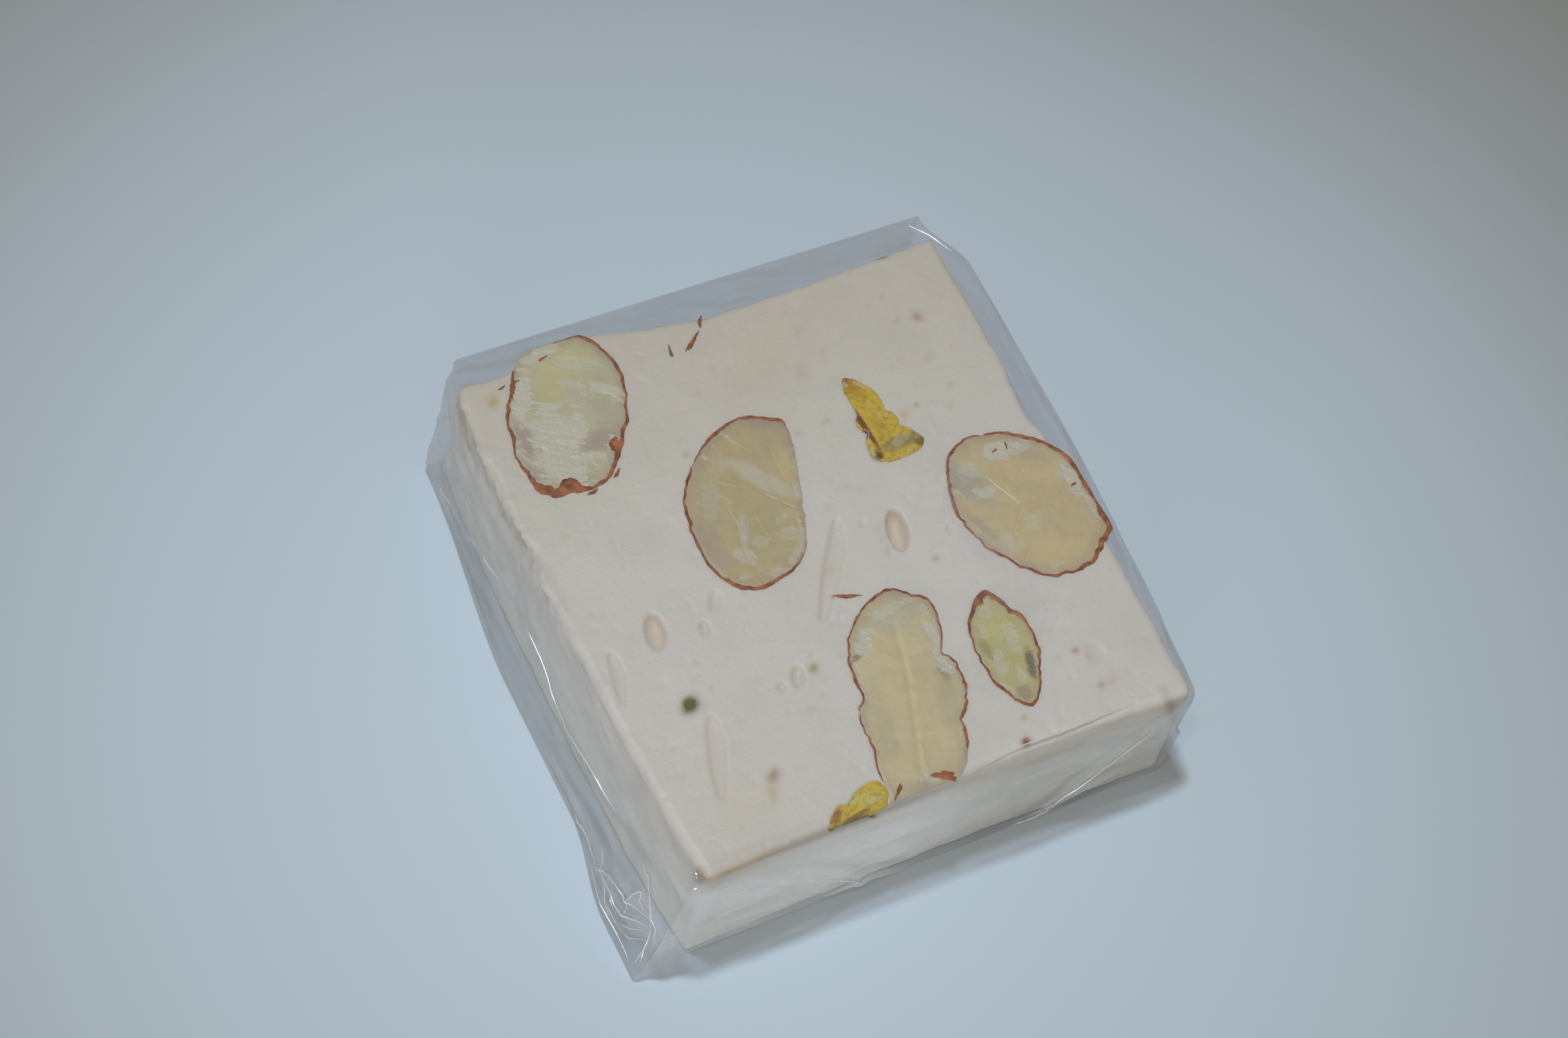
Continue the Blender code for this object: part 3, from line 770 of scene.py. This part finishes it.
def nougat_body(shares):
    """The block before any detail: slightly hollow sides, a ragged left edge, and all edges
    rounded by moving each point to a fixed distance from a smaller inner box."""
    s, t, w = shares.T
    h = (w + 1) / 2
    side_flat = np.stack([t * 24, w * 7], axis=-1)
    rag = rough_noise(side_flat, 2.4, 5, 4)
    torn = ease((0.2 + t) / 0.5) * ease((1.02 - t) / 0.1)
    left = NOUGAT_LOW[0] - 0.05 + NOUGAT_LEFT_PULL * np.abs(t) ** 3 - (0.12 + 0.75 * torn * h) * rag
    right = NOUGAT_HIGH[0] - 0.2 - NOUGAT_RIGHT_PULL * np.maximum(0, -t) ** 3
    notch = ease((t - 0.1) / 0.12) * ease((0.42 - t) / 0.1)
    right = right - 0.5 * notch + (0.12 + 0.4 * notch) * rough_noise(side_flat, 2.5, 9, 4)
    near = NOUGAT_LOW[1] + 0.5 - NOUGAT_SPREAD * s * s
    near = near - NOUGAT_NEAR_SLOPE * (1 - h) * (1 - 0.5 * s * s)
    far = NOUGAT_HIGH[1] - 0.45 + NOUGAT_SPREAD * (np.maximum(0, -s) ** 2 * 1.5 + np.maximum(0, s) ** 2)
    far = far + 0.15 * rough_noise(np.stack([s * 24, w * 7], axis=-1), 3.0, 15, 3)
    bulge = (np.minimum(s + 0.56, 0) / 0.2) ** 4 + (np.maximum(s + 0.52, 0) / 0.3) ** 2
    far = far + 1.9 * h * np.exp(-bulge)
    point = np.stack([between(left, right, (s + 1) / 2), between(near, far, (t + 1) / 2),
                      between(NOUGAT_FOOT, SURFACE, h)], axis=1)
    radius = between(NOUGAT_FOOT_RADIUS, NOUGAT_RADIUS, ease(h / 0.6))[:, None]
    low = np.stack([left, near, np.full(len(s), NOUGAT_FOOT)], axis=1) + radius
    high = np.stack([right, far, np.full(len(s), SURFACE)], axis=1) - radius
    core = np.clip(point, low, high)
    away = point - core
    return core + away * radius / np.linalg.norm(away, axis=1, keepdims=True)


def nougat_relief(x, y):
    """How far the cut face lies below the block's top at each place: the nuts' pockets, the
    open bubbles (half ellipsoids), the stretched ones, pinholes and a faint waviness. Also how
    strongly the floor of a bubble is tanned."""
    flat = np.stack([x, y], axis=-1)
    drop = 0.08 + 0.07 * rough_noise(flat, 6.0, 31, 2) + 0.025 * rough_noise(flat, 1.6, 35, 3)
    drop += 0.05 * ease((rough_noise(flat, 0.8, 131, 2) - 0.52) / 0.15)
    tint = np.zeros(x.shape)
    for nut in NUTS:
        share = nut_share(nut.name, x, y) / 0.97
        depth = (nut.depth + 0.4) * np.sqrt(np.clip(1 - share**2, 0, 1))
        drop = np.maximum(drop, depth)
    for centre, half_width, half_length, tilt, depth in PORES:
        ahead, aside = turned(x, y, centre, tilt)
        share = (ahead / half_length) ** 2 + (aside / half_width) ** 2
        pit = np.sqrt(np.clip(1 - share, 0, 1))
        drop = np.maximum(drop, depth * pit)
        tint = np.maximum(tint, min(1.0, depth) * ease(pit / 0.6))
    for line, width, depth in GROOVES:
        away, along = line_distance(x, y, line)
        half = 0.5 * width * (0.35 + 0.65 * np.sin(np.pi * np.clip(along, 0.0, 0.97)) ** 0.6)
        trough = np.sqrt(np.clip(1 - (away / half) ** 4, 0, 1))
        drop = np.maximum(drop, depth * trough)
        tint = np.maximum(tint, 0.3 * trough)
    return drop, tint


def nougat_stains(points, pit):
    """One colour and strength for each point: the stains over each other, the tan floor of the
    open bubbles, and painted shade along the near side just under its top edge: a honey-brown
    line at the left end and a grey band."""
    x, y, z = points.T
    colour = np.tile(linear("e3d2b8"), (len(x), 1))
    strength = np.clip(pit, 0, 1) * 0.8
    flat = points[:, :2]
    near_top = ease((z - SURFACE + 2.0) / 1.6)

    def lay(code, share):
        nonlocal colour, strength
        share = np.clip(share, 0, 1)
        total = share + strength * (1 - share)
        weight = (share / np.maximum(total, 1e-6))[:, None]
        colour = between(colour, linear(code), weight)
        strength = total

    for centre, half_length, half_width, tilt, power, code in STAINS:
        uneven = near_top * (1 + 0.35 * rough_noise(flat, 0.5, 57, 2))
        lay(code, power * uneven * patch(x, y, centre, half_length, half_width, tilt))
    generator = np.random.default_rng(12)
    for _ in range(60):
        centre = generator.uniform((-21, -22), (21, 22))
        size = generator.uniform(0.2, 0.6)
        lay("d8c4a0", generator.uniform(0.15, 0.5) * patch(x, y, centre, size, size * 0.7, 30))
    near_face = ease((-22.8 - y) / 0.8)
    # Painted shade: a grey band just under the near top edge, fading towards the right end.
    lay("a89e8e", 0.75 * near_face * ease((8 - x) / 16) * np.exp(-(((z - SURFACE + 1.5) / 1.0) ** 2)))
    # Painted shade: a honey-brown line just under the near top edge, at its left end.
    honey = ease((-12.0 - x) / 8.0) * (0.7 + 0.5 * rough_noise(flat, 1.5, 44, 3))
    lay("b88a35", honey * near_face * np.exp(-(((z - SURFACE + 0.75) / 0.35) ** 2)))
    corner = patch(x, z, (21.2, SURFACE - 2.3), 2.0, 0.45, 112)
    lay("9a7a4e", 0.9 * near_face * corner)
    left_face = ease((-22.8 - x) / 0.8)
    lay("b9b0b4", 0.25 * left_face * ease(rough_noise(points[:, 1:], 4.0, 61, 3) * 2.0))
    # Darker and warmer towards the far side of the top.
    lay("c6b78e", 0.30 * ease((y + 8) / 36) * ease((z - SURFACE + 1.5) / 0.8))
    return np.concatenate([colour, strength[:, None]], axis=1)


def edge_stations(half, size, radius):
    """Shares from -1 to 1 that lie size millimetres apart, and closer in the rounded edges."""
    inner = 1 - radius / half
    bend = inner + (1 - inner) * np.sin(np.linspace(0, np.pi / 2, 7))[1:]
    middle = np.linspace(-inner, inner, int(2 * (half - radius) / size) + 1)
    return np.concatenate([-bend[::-1], middle, bend])


def make_nougat(material):
    """The block as a fine box lattice. Its sides are broken up a little more than its cut face,
    and the face's relief fades to nothing at the foot, so that no side is cut off."""
    half = (SURFACE - NOUGAT_FOOT) / 2
    across = edge_stations((NOUGAT_HIGH[0] - NOUGAT_LOW[0]) / 2, 0.22, NOUGAT_RADIUS)
    along = edge_stations((NOUGAT_HIGH[1] - NOUGAT_LOW[1]) / 2, 0.22, NOUGAT_RADIUS)
    shares, faces = box_surface(across, along, edge_stations(half, 0.6, NOUGAT_RADIUS))
    points = nougat_body(shares)
    side = np.abs(shares[:, :2]).max(axis=1)
    skin = ease((side - 0.9) / 0.1)[:, None]
    bumps = np.stack([rough_noise(points, 1.3, seed, 3) for seed in (101, 202, 303)], axis=1)
    points = points + bumps * (0.02, 0.02, 0.0) + 0.1 * skin * bumps * (1, 1, 0)
    drop, pit = nougat_relief(points[:, 0], points[:, 1])
    rise = (points[:, 2] - NOUGAT_FOOT) / (SURFACE - NOUGAT_FOOT)
    points[:, 2] -= drop * rise
    pit = pit * ease((rise - 0.8) / 0.1)
    values = {"stain": nougat_stains(points, pit)}
    return add_piece("nougat_block", points, faces, material, "nougat", values)


# Loose bits of almond skin in the cut face: (centre), half length, half width, tilt.
SKIN_BITS = (
    ((-0.95, -5.6), 1.15, 0.17, -20),
    ((-2.2, 21.9), 1.1, 0.18, 38),
    ((-4.4, 21.7), 0.6, 0.12, 80),
    ((-0.6, 23.6), 0.6, 0.15, 60),
    ((-0.9, -23.7), 1.0, 0.4, -30),
    ((-5.2, -23.5), 0.8, 0.16, 42),
    ((-16.7, 11.25), 0.5, 0.14, 10),
    ((-14.0, 12.2), 0.5, 0.14, 40),
    ((-15.2, 24.9), 0.45, 0.1, 15),
    ((-18.5, 23.5), 0.5, 0.1, 15),
    ((22.9, -2.9), 0.3, 0.08, 10),
    ((17.9, 2.6), 0.3, 0.08, 20),
    ((19.1, 2.7), 0.35, 0.07, 80),
    ((-19.7, 23.4), 0.35, 0.08, 15),
)


BIT_SIDES = 20
BIT_HALF_THICKNESS = 0.09


def make_skin_bits(material):
    """Small lens-shaped bits: each is a sphere grid flattened to its size, with a rough edge."""
    around = np.linspace(0, 2 * np.pi, BIT_SIDES, endpoint=False)
    down = np.linspace(0, np.pi, 9)[1:-1, None]
    all_points, all_quads, all_fans = [], [], []
    for number, (centre, half_length, half_width, tilt) in enumerate(SKIN_BITS):
        first = number * (len(down) * BIT_SIDES + 2)
        uneven = 1 + 0.25 * np.sin(3 * around + number) + 0.15 * np.sin(7 * around + 2 * number)
        ahead = half_length * np.sin(down) * np.cos(around) * uneven
        aside = half_width * np.sin(down) * np.sin(around) * uneven
        angle = np.radians(tilt)
        x = centre[0] + ahead * np.cos(angle) - aside * np.sin(angle)
        y = centre[1] + ahead * np.sin(angle) + aside * np.cos(angle)
        z = np.broadcast_to(SURFACE + BIT_HALF_THICKNESS * np.cos(down), x.shape)
        middle = np.array([[*centre, SURFACE + side * BIT_HALF_THICKNESS] for side in (1, -1)])
        all_points += [np.stack([x, y, z], axis=-1).reshape(-1, 3), middle]
        ring = first + np.arange(BIT_SIDES)
        last = ring + (len(down) - 1) * BIT_SIDES
        crown = first + len(down) * BIT_SIDES
        all_quads.append(ring_faces(len(down), BIT_SIDES, first))
        all_fans += [fan(crown, ring), fan(crown + 1, last, flipped=True)]
    faces = [np.concatenate(all_quads), np.concatenate(all_fans)]
    return add_piece("skin_bits", np.concatenate(all_points), faces, material)


# ---- film --------------------------------------------------------------------------------

FILM_NEAR = 25.2  # the near wall lies at minus this y
FILM_RIGHT_NEAR = 23.3  # x of the right wall at its near end
FILM_RIGHT_BELLY = 1.8
LEFT_TOP = -25.0  # x of the left wall's top and foot, before they are drawn in or out
LEFT_FOOT = -24.8

# Where a painted sheen lies on the top film, standing in for the lamp's reflection in its faint wrinkles,
# as a line of (x, y).
SHEEN_LINE = ((13.0, 6.6), (11.2, 3.0), (11.0, -2.5), (12.0, -8.0), (14.8, -14.0))
# Creases of the left wall as lines of (y, z), with their height and width.
LEFT_CREASES = (
    (((23.3, 1.6), (18.2, 4.7), (12.6, 8.4), (8.1, 8.8), (4.7, 7.4)), 0.45, 0.9),
    (((20.4, 11.0), (18.1, 8.6), (11.7, 9.4), (6.2, 9.8)), 0.3, 0.7),
    (((1.2, 9.6), (-3.8, 7.9), (-10.5, 8.4), (-14.0, 7.9)), 0.45, 0.9),
    (((-1.8, 3.3), (-6.3, 5.8), (-11.2, 7.2), (-14.7, 7.6), (-18.9, 8.7), (-23.2, 7.6)), -0.45, 0.7),
    (((-8.2, 2.5), (-11.0, 0.9), (-13.4, 0.1)), 0.4, 0.7),
    (((-15.8, 1.6), (-17.1, 3.8), (-19.0, 5.1), (-20.9, 5.1), (-23.5, 6.2)), 0.5, 0.45),
    (((-17.3, 2.8), (-18.9, 3.4), (-20.3, 3.2), (-21.5, 3.7), (-23.5, 5.1)), 0.45, 0.4),
    (((-21.2, 3.7), (-20.8, 4.9), (-20.9, 6.4), (-21.3, 7.5), (-22.4, 6.0)), 0.45, 0.4),
    (((-19.6, 8.4), (-20.9, 9.0), (-22.4, 7.7), (-24.0, 6.6)), 0.4, 0.45),
)
# Creases of the near wall as lines of (x, z).
NEAR_CREASES = (
    (((-19.0, 10.5), (-14.0, 8.0), (-10.0, 5.0), (-8.5, 3.5), (-6.5, 1.0)), 0.28, 0.5),
    (((-10.0, 1.2), (-6.5, 2.2), (-3.0, 0.6)), 0.25, 0.5),
    (((20.5, 12.0), (15.0, 7.0), (12.0, 4.0), (10.5, 0.5)), 0.28, 0.5),
    (((18.0, 3.8), (12.0, 1.8), (7.6, 0.3)), 0.2, 0.4),
)


def ridges(along, z, creases):
    """Heights of sharp-topped creases: each falls from its height to nothing at its width, as
    (1 - distance / width)^2, and fades at its ends."""
    total = np.zeros(along.shape)
    mark = np.zeros(along.shape)
    for line, height, width in creases:
        away, share = line_distance(along, z, line)
        ends = np.sqrt(np.sin(np.pi * np.clip(share, 0.04, 0.96)))
        ridge = np.clip(1 - away / (2 * width), 0, 1) ** 2 * ends
        total += height * ridge
        mark = np.maximum(mark, ridge)
    return total, mark


def film_left(y, h):
    """x of the left wall: upright at the top edge, leaning out at its foot, most at the near
    corner, and drawn in at the far tip."""
    top = LEFT_TOP + 2.6 * np.maximum(0, (y - 20) / 7.3) ** 1.5
    foot = LEFT_FOOT - 2.1 * ease((25 - y) / 22) - 1.6 * ease((-10 - y) / 10)
    return between(foot, top, h**0.8)


def film_right(y):
    """x of the right wall: a belly, drawn in at the far tip."""
    belly = FILM_RIGHT_BELLY * np.sin(np.pi / 2 * np.minimum(1, (y + 25.2) / 30))
    return FILM_RIGHT_NEAR + belly - 2.1 * ease((y - 20.5) / 6)


def film_near(x, h):
    """y of the near wall, with the end fold as a shallow trapezoid that lies on it."""
    half = between(8.0, 21.0, h)
    flap = 0.25 * ease((half - np.abs(x - 1.5)) / 0.5)
    foot = 0.6 * ease((-18 - x) / 4) * (1 - h)
    return -FILM_NEAR - flap * np.sin(np.pi * h) ** 0.5 - foot


def film_far(s, h):
    """y of the far wall: the slack film stands out at the top edge."""
    return between(25.2, 27.2 - 0.2 * s, np.sqrt(h))


def slack_film(x, y, z):
    """Slow waves, and crumpled ridges: the folded-up absolute value of soft noise."""
    side_place = np.stack([x + y, z * 1.4], axis=-1)
    slack = rough_noise(side_place, 9.0, 11, 2)
    crumple = 0.6 - np.abs(rough_noise(side_place, 5.0, 23, 2)) * 2
    return slack, crumple


def left_folds(x, y, z):
    """How far the left wall stands out: waves, long folds that run along the wall and fan out
    from the near corner, and its creases. Also how strongly each place is creased."""
    slack, crumple = slack_film(x, y, z)
    corner = np.exp(-(((y + 21) / 6) ** 2))
    long_place = np.stack([y * 0.22, z - 0.10 * y], axis=-1)
    long_folds = 0.5 - np.abs(rough_noise(long_place, 2.6, 47, 2)) * 2
    ridge, mark = ridges(y, z, LEFT_CREASES)
    return 0.35 * slack + 0.10 * crumple + (0.30 + 0.10 * corner) * long_folds + ridge, mark


def near_folds(x, y, z):
    """How far the near wall stands out: faint waves and its creases, and their marks."""
    slack, crumple = slack_film(x, y, z)
    ridge, mark = ridges(x, z, NEAR_CREASES)
    return 0.14 * slack + 0.10 * crumple + ridge, mark


def film_surface(shares):
    """The wrapper's outer face. Its four walls follow their own functions, and its edges are
    rounded over the block at the near side and sharply creased at the far one. The haze is how
    milky each place is, and also painted highlight along the creases and painted sheen on the top;
    the seam is how much of its light a thickness of several layers takes away, and also painted
    shade along the left wall's creases."""
    s, t, w = shares.T
    h = np.clip((w + 1) / 2, 0, 1)
    x_guess = s * FILM_RIGHT_NEAR
    near = film_near(x_guess, h)
    far = film_far(s, h)
    y = between(near, far, (t + 1) / 2)
    left = film_left(y, h)
    right = film_right(y)
    x = between(left, right, (s + 1) / 2)
    z = between(FILM_FOOT, FILM_TOP, h)
    radius = between(1.25, 0.25, ease((t + 1) / 2 * 1.2 - 0.1))
    radius = np.where(h < 0.5, 0.2, radius)
    low = np.stack([left, near, np.full(len(s), FILM_FOOT)], axis=1) + radius[:, None]
    high = np.stack([right, far, np.full(len(s), FILM_TOP)], axis=1) - radius[:, None]
    point = np.stack([x, y, z], axis=1)
    core = np.clip(point, low, high)
    away = point - core
    reach = np.linalg.norm(away, axis=1, keepdims=True)
    normal = away / np.maximum(reach, 1e-9)
    point = core + normal * radius[:, None]

    on_left = ease((-normal[:, 0] - 0.5) / 0.4)
    on_right = ease((normal[:, 0] - 0.5) / 0.4)
    on_near = ease((-normal[:, 1] - 0.5) / 0.4)
    on_far = ease((normal[:, 1] - 0.5) / 0.4)
    middle = ease(h / 0.12) * ease((1 - h) / 0.1)
    left_lift, left_mark = left_folds(x, y, z)
    near_lift, near_mark = near_folds(x, y, z)
    slack, crumple = slack_film(x, y, z)
    right_lift = 0.30 * slack + 0.15 * crumple
    far_lift = 0.35 * slack + 0.2 * crumple
    lift = middle * (left_lift * on_left + near_lift * on_near + right_lift * on_right + far_lift * on_far)
    point = point + normal * lift[:, None] * (1, 1, 0)

    walls = np.maximum.reduce([on_left, on_right, on_near, on_far])
    folded = np.maximum(left_mark * on_left, near_mark * on_near)
    haze = 0.004 + 0.05 * walls + 0.12 * on_left + 0.06 * on_far
    # Painted highlight: whiter haze along the creases of the left and near walls, partly the fold's own
    # whitening.
    haze += 0.16 * folded * middle + 0.05 * walls * ease(crumple)
    # Milkier towards the left end of the near wall, and painted highlight along its creases.
    haze += 0.20 * on_near * ease((-x - 2) / 16) + 0.30 * near_mark * on_near
    streak_place = np.stack([(x + y) * 0.14, z + 0.12 * (x - y)], axis=-1)
    haze += 0.15 * walls * ease(1.8 * rough_noise(streak_place, 1.5, 53, 3))
    # Painted sheen on the top film: a whitish haze along a line, standing in for the lamp's reflection in
    # its faint wrinkles.
    painted_sheen = np.exp(-((line_distance(x, y, SHEEN_LINE)[0] / 2.2) ** 2)) * (1 - walls)
    haze += 0.16 * painted_sheen * ease(rough_noise(np.stack([x, y], axis=-1), 1.2, 19, 2) + 0.5)
    corners = np.minimum(np.maximum(on_left, on_right), np.maximum(on_near, on_far))
    # Darker at the corners, where layers overlap, and painted shade along the left wall's creases.
    seam = 0.08 * ease((corners - 0.02) / 0.2) + 0.25 * ease((left_mark - 0.5) / 0.4) * on_left
    # Darker on the walls, and darker towards the right end of the near wall.
    seam += 0.05 * on_left + 0.10 * on_far + 0.07 * on_right + 0.22 * on_near * ease((x + 6) / 14)
    return point, {"haze": np.clip(haze, 0, 0.5), "seam": np.clip(seam, 0, 0.8)}


def make_film(material):
    """The wrapper as a box lattice, given its thickness inward."""
    half_x = (FILM_HIGH[0] - FILM_LOW[0]) / 2
    half_y = (FILM_HIGH[1] - FILM_LOW[1]) / 2
    across = edge_stations(half_x, 0.46, 1.25)
    along = edge_stations(half_y, 0.38, 1.25)
    up = edge_stations((FILM_TOP - FILM_FOOT) / 2, 0.36, 1.25)
    shares, faces = box_surface(across, along, up)
    points, values = film_surface(shares)
    film = add_piece("wrapper_film", points, faces, material, "film_wrapper", values)
    wall = film.modifiers.new("film thickness", "SOLIDIFY")
    wall.thickness = FILM_THICKNESS * MM
    wall.offset = -1.0
    return film


# Sharp folds, which catch the light as thin white lines: on the left wall as (y, z), on the near
# wall as (x, z) and on the top as (x, y), each with its thickness. The ones on the top are no folds
# but painted highlight: the streak along the near top edge and the glints at the far right corner.
LEFT_FOLDS = (
    (((-15.8, 1.6), (-17.1, 3.8), (-19.0, 5.1), (-20.9, 5.1), (-23.5, 6.2)), 0.06),
    (((-17.3, 2.8), (-18.9, 3.4), (-20.3, 3.2), (-21.5, 3.7), (-23.5, 5.1)), 0.06),
    (((-21.2, 3.7), (-20.8, 4.9), (-20.9, 6.4), (-21.3, 7.5), (-22.4, 6.0)), 0.045),
    (((-19.6, 8.4), (-20.9, 9.0), (-22.4, 7.7), (-24.0, 6.6), (-25.0, 4.0)), 0.05),
    (((-15.0, 0.6), (-18.0, 0.8), (-21.0, 0.6), (-24.2, 0.4)), 0.06),
    (((-19.0, 2.4), (-20.6, 2.2), (-22.0, 2.6), (-23.4, 4.2)), 0.035),
    (((-19.4, 1.6), (-21.0, 1.4), (-22.6, 2.0), (-23.8, 3.6)), 0.03),
    (((-15.4, 4.2), (-16.6, 3.0), (-18.2, 2.0), (-20.0, 1.0)), 0.035),
    (((-23.0, 7.6), (-23.6, 5.6), (-24.6, 3.0), (-24.6, 0.8)), 0.045),
    (((-4.0, 0.9), (-10.0, 0.7), (-15.8, 1.6)), 0.05),
    (((22.0, 2.6), (17.0, 4.6), (12.6, 7.6), (8.1, 8.6)), 0.05),
    (((3.2, 8.9), (-3.8, 7.9), (-10.5, 8.4), (-15.0, 7.9)), 0.05),
)
NEAR_FOLDS = (
    (((-17.0, 9.6), (-14.0, 8.0), (-10.0, 5.0), (-8.5, 3.5), (-6.5, 1.0)), 0.05),
    (((-10.0, 1.2), (-6.5, 2.2), (-3.0, 0.6)), 0.05),
    (((19.5, 11.0), (15.0, 7.0), (12.0, 4.0), (10.5, 0.5)), 0.05),
    (((18.0, 3.8), (12.0, 1.8), (7.6, 0.3)), 0.04),
)
# Painted highlight on the top: white lines for the streak along the near top edge and for the glints at the
# far right corner.
TOP_GLINT_LINES = (
    (((2.0, -23.9), (6.0, -23.7), (11.0, -23.8), (17.0, -23.7)), 0.07),
    (((6.0, -24.3), (11.0, -24.2), (16.0, -24.3)), 0.04),
    (((21.6, 26.2), (22.9, 24.6), (24.0, 22.4)), 0.08),
    (((22.4, 25.6), (23.2, 23.9)), 0.09),
)
FOLD_STEPS = 90
FOLD_SIDES = 6


def smooth_line(corners, steps):
    """Places along a line whose corners are rounded: even steps, each averaged with its
    neighbours by a bell curve."""
    corners = np.array(corners)
    share = np.linspace(0, len(corners) - 1, steps)
    line = np.stack([np.interp(share, np.arange(len(corners)), column) for column in corners.T], axis=1)
    weight = np.exp(-0.5 * (np.arange(-8, 9) / 4.0) ** 2)
    padded = np.pad(line, ((8, 8), (0, 0)), mode="reflect", reflect_type="odd")
    return np.stack([np.convolve(column, weight / weight.sum(), "valid") for column in padded.T], axis=1)


def fold_path(side, corners):
    """A fold's places in space, just outside the wall that it lies on."""
    first, second = smooth_line(corners, FOLD_STEPS).T
    if side == "top":
        return np.stack([first, second, np.full(FOLD_STEPS, FILM_TOP)], axis=1)
    h = (second - FILM_FOOT) / (FILM_TOP - FILM_FOOT)
    if side == "left":
        x = film_left(first, h)
        return np.stack([x - left_folds(x, first, second)[0] - 0.03, first, second], axis=1)
    y = film_near(first, h)
    return np.stack([first, y - near_folds(first, y, second)[0] - 0.03, second], axis=1)


def tube(path, radius):
    """A closed tube: rings across the path, thin at both ends as the sine of the way along."""
    ahead = np.gradient(path, axis=0)
    ahead /= np.linalg.norm(ahead, axis=1, keepdims=True)
    aside = np.cross(ahead, (0.31, 0.17, 0.93))
    aside /= np.linalg.norm(aside, axis=1, keepdims=True)
    across = np.cross(ahead, aside)
    turn = np.linspace(0, 2 * np.pi, FOLD_SIDES, endpoint=False)
    share = np.linspace(0.02, 0.98, len(path))
    width = radius * (0.15 + 0.85 * np.sin(np.pi * share) ** 0.7)
    width *= 1 + 0.35 * np.sin(9 * share + 30 * radius)
    ring = aside[:, None] * np.cos(turn)[:, None] + across[:, None] * np.sin(turn)[:, None]
    points = (path[:, None] + width[:, None, None] * ring).reshape(-1, 3)
    return np.concatenate([points, path[:1], path[-1:]])


def make_folds(material):
    """All sharp folds of the film, and the painted highlight lines on its top, as one mesh of
    thin tubes with pointed ends.
    """
    folds = [("left", *fold) for fold in LEFT_FOLDS]
    folds += [("near", *fold) for fold in NEAR_FOLDS]
    folds += [("top", *fold) for fold in TOP_GLINT_LINES]
    points, quads, fans = [], [], []
    count = FOLD_STEPS * FOLD_SIDES
    ring = np.arange(FOLD_SIDES)
    for number, (side, corners, radius) in enumerate(folds):
        first = number * (count + 2)
        points.append(tube(fold_path(side, corners), radius))
        quads.append(ring_faces(FOLD_STEPS, FOLD_SIDES, first)[:, ::-1])
        start, end = first + ring, first + count - FOLD_SIDES + ring
        fans += [fan(first + count, start, flipped=True), fan(first + count + 1, end)]
    return add_piece("wrapper_folds", np.concatenate(points), [np.concatenate(quads), np.concatenate(fans)],
                     material)


# ---- floor, light and camera -------------------------------------------------------------

def make_floor():
    """A plain pale table, matt and faintly blue."""
    bpy.ops.mesh.primitive_plane_add(size=3.0)
    floor = bpy.context.active_object
    floor.name = "pale_table"
    material, tree = new_material("pale matt table")
    shader = add_node(tree, "ShaderNodeBsdfPrincipled", Base_Color=socket_colour("cfdce6"), Roughness=0.55)
    surface_output(tree, shader.outputs[0])
    floor.data.materials.append(material)


LAMP_PLACE = Vector((-0.095, 0.115, 0.785))
LAMP_AIM = Vector((-0.001, -0.002, 0.0))
FILL_PLACE = Vector((-0.21, -0.29, 0.03))
SPARK_PLACE = Vector((-0.11, -0.07, 0.33))
ORIGIN = Vector((0.0, 0.0, 0.0))


def hang_light(name, kind, place, aim, energy, **settings):
    """A lamp at a place in metres, turned towards aim."""
    lamp = bpy.data.lights.new(name, kind)
    lamp.energy = energy
    for key, value in settings.items():
        setattr(lamp, key, value)
    hung = bpy.data.objects.new(name, lamp)
    hung.location = place
    hung.rotation_euler = (aim - place).to_track_quat("-Z", "Y").to_euler()
    bpy.context.scene.collection.objects.link(hung)


def make_light():
    """Warm pale surroundings, one soft round lamp high at the far left whose light fades
    towards the edge of its cone, so that the table is brightest round the bar, a low pale panel
    that fills the near side, and a small lamp for sharp glints in the film."""
    world = bpy.data.worlds.new("pale studio")
    world.use_nodes = True
    background = world.node_tree.nodes["Background"]
    background.inputs["Color"].default_value = (1.0, 0.84, 0.66, 1.0)
    background.inputs["Strength"].default_value = 0.24
    bpy.context.scene.world = world
    hang_light("soft round lamp", "SPOT", LAMP_PLACE, LAMP_AIM, 12.3, color=(0.72, 0.86, 0.98),
               shadow_soft_size=0.03, spot_size=np.radians(17.0), spot_blend=1.0)
    hang_light("pale fill panel", "AREA", FILL_PLACE, ORIGIN, 0.48, color=(0.84, 0.93, 1.0),
               shape="RECTANGLE", size=0.14, size_y=0.05)
    hang_light("small bright lamp", "POINT", SPARK_PLACE, ORIGIN, 0.28, shadow_soft_size=0.005)


CAMERA_PLACE = Vector((-113.2, -119.1, 277.6))
CAMERA_AIM = Vector((0.3, 6.2, 7.0))
CAMERA_ROLL = np.radians(18.3)


def make_camera():
    """Looks down steeply from the near left, rolled so that the far side rises to the right."""
    lens = bpy.data.cameras.new("view")
    lens.lens = 84.25
    lens.sensor_width = 36.0
    lens.clip_start = 0.01
    camera = bpy.data.objects.new("view", lens)
    camera.location = CAMERA_PLACE * MM
    aim = (CAMERA_AIM - CAMERA_PLACE).to_track_quat("-Z", "Y")
    camera.rotation_euler = (aim @ Quaternion((0, 0, 1), CAMERA_ROLL)).to_euler()
    bpy.context.scene.collection.objects.link(camera)
    bpy.context.scene.camera = camera


def main():
    """Every piece, then the table, the light and the camera."""
    bpy.context.scene.view_settings.view_transform = "Standard"
    skin = almond_skin()
    kernel = almond_kernel()
    pistachio = pistachio_kernel()
    make_nougat(whipped_nougat())
    for nut in NUTS:
        if nut.skin is None:
            make_nut(nut, pistachio)
        else:
            make_nut(nut, kernel)
            make_skin(nut, skin)
    make_skin_bits(skin)
    make_film(clear_film())
    make_folds(creased_film())
    make_floor()
    make_light()
    make_camera()


main()
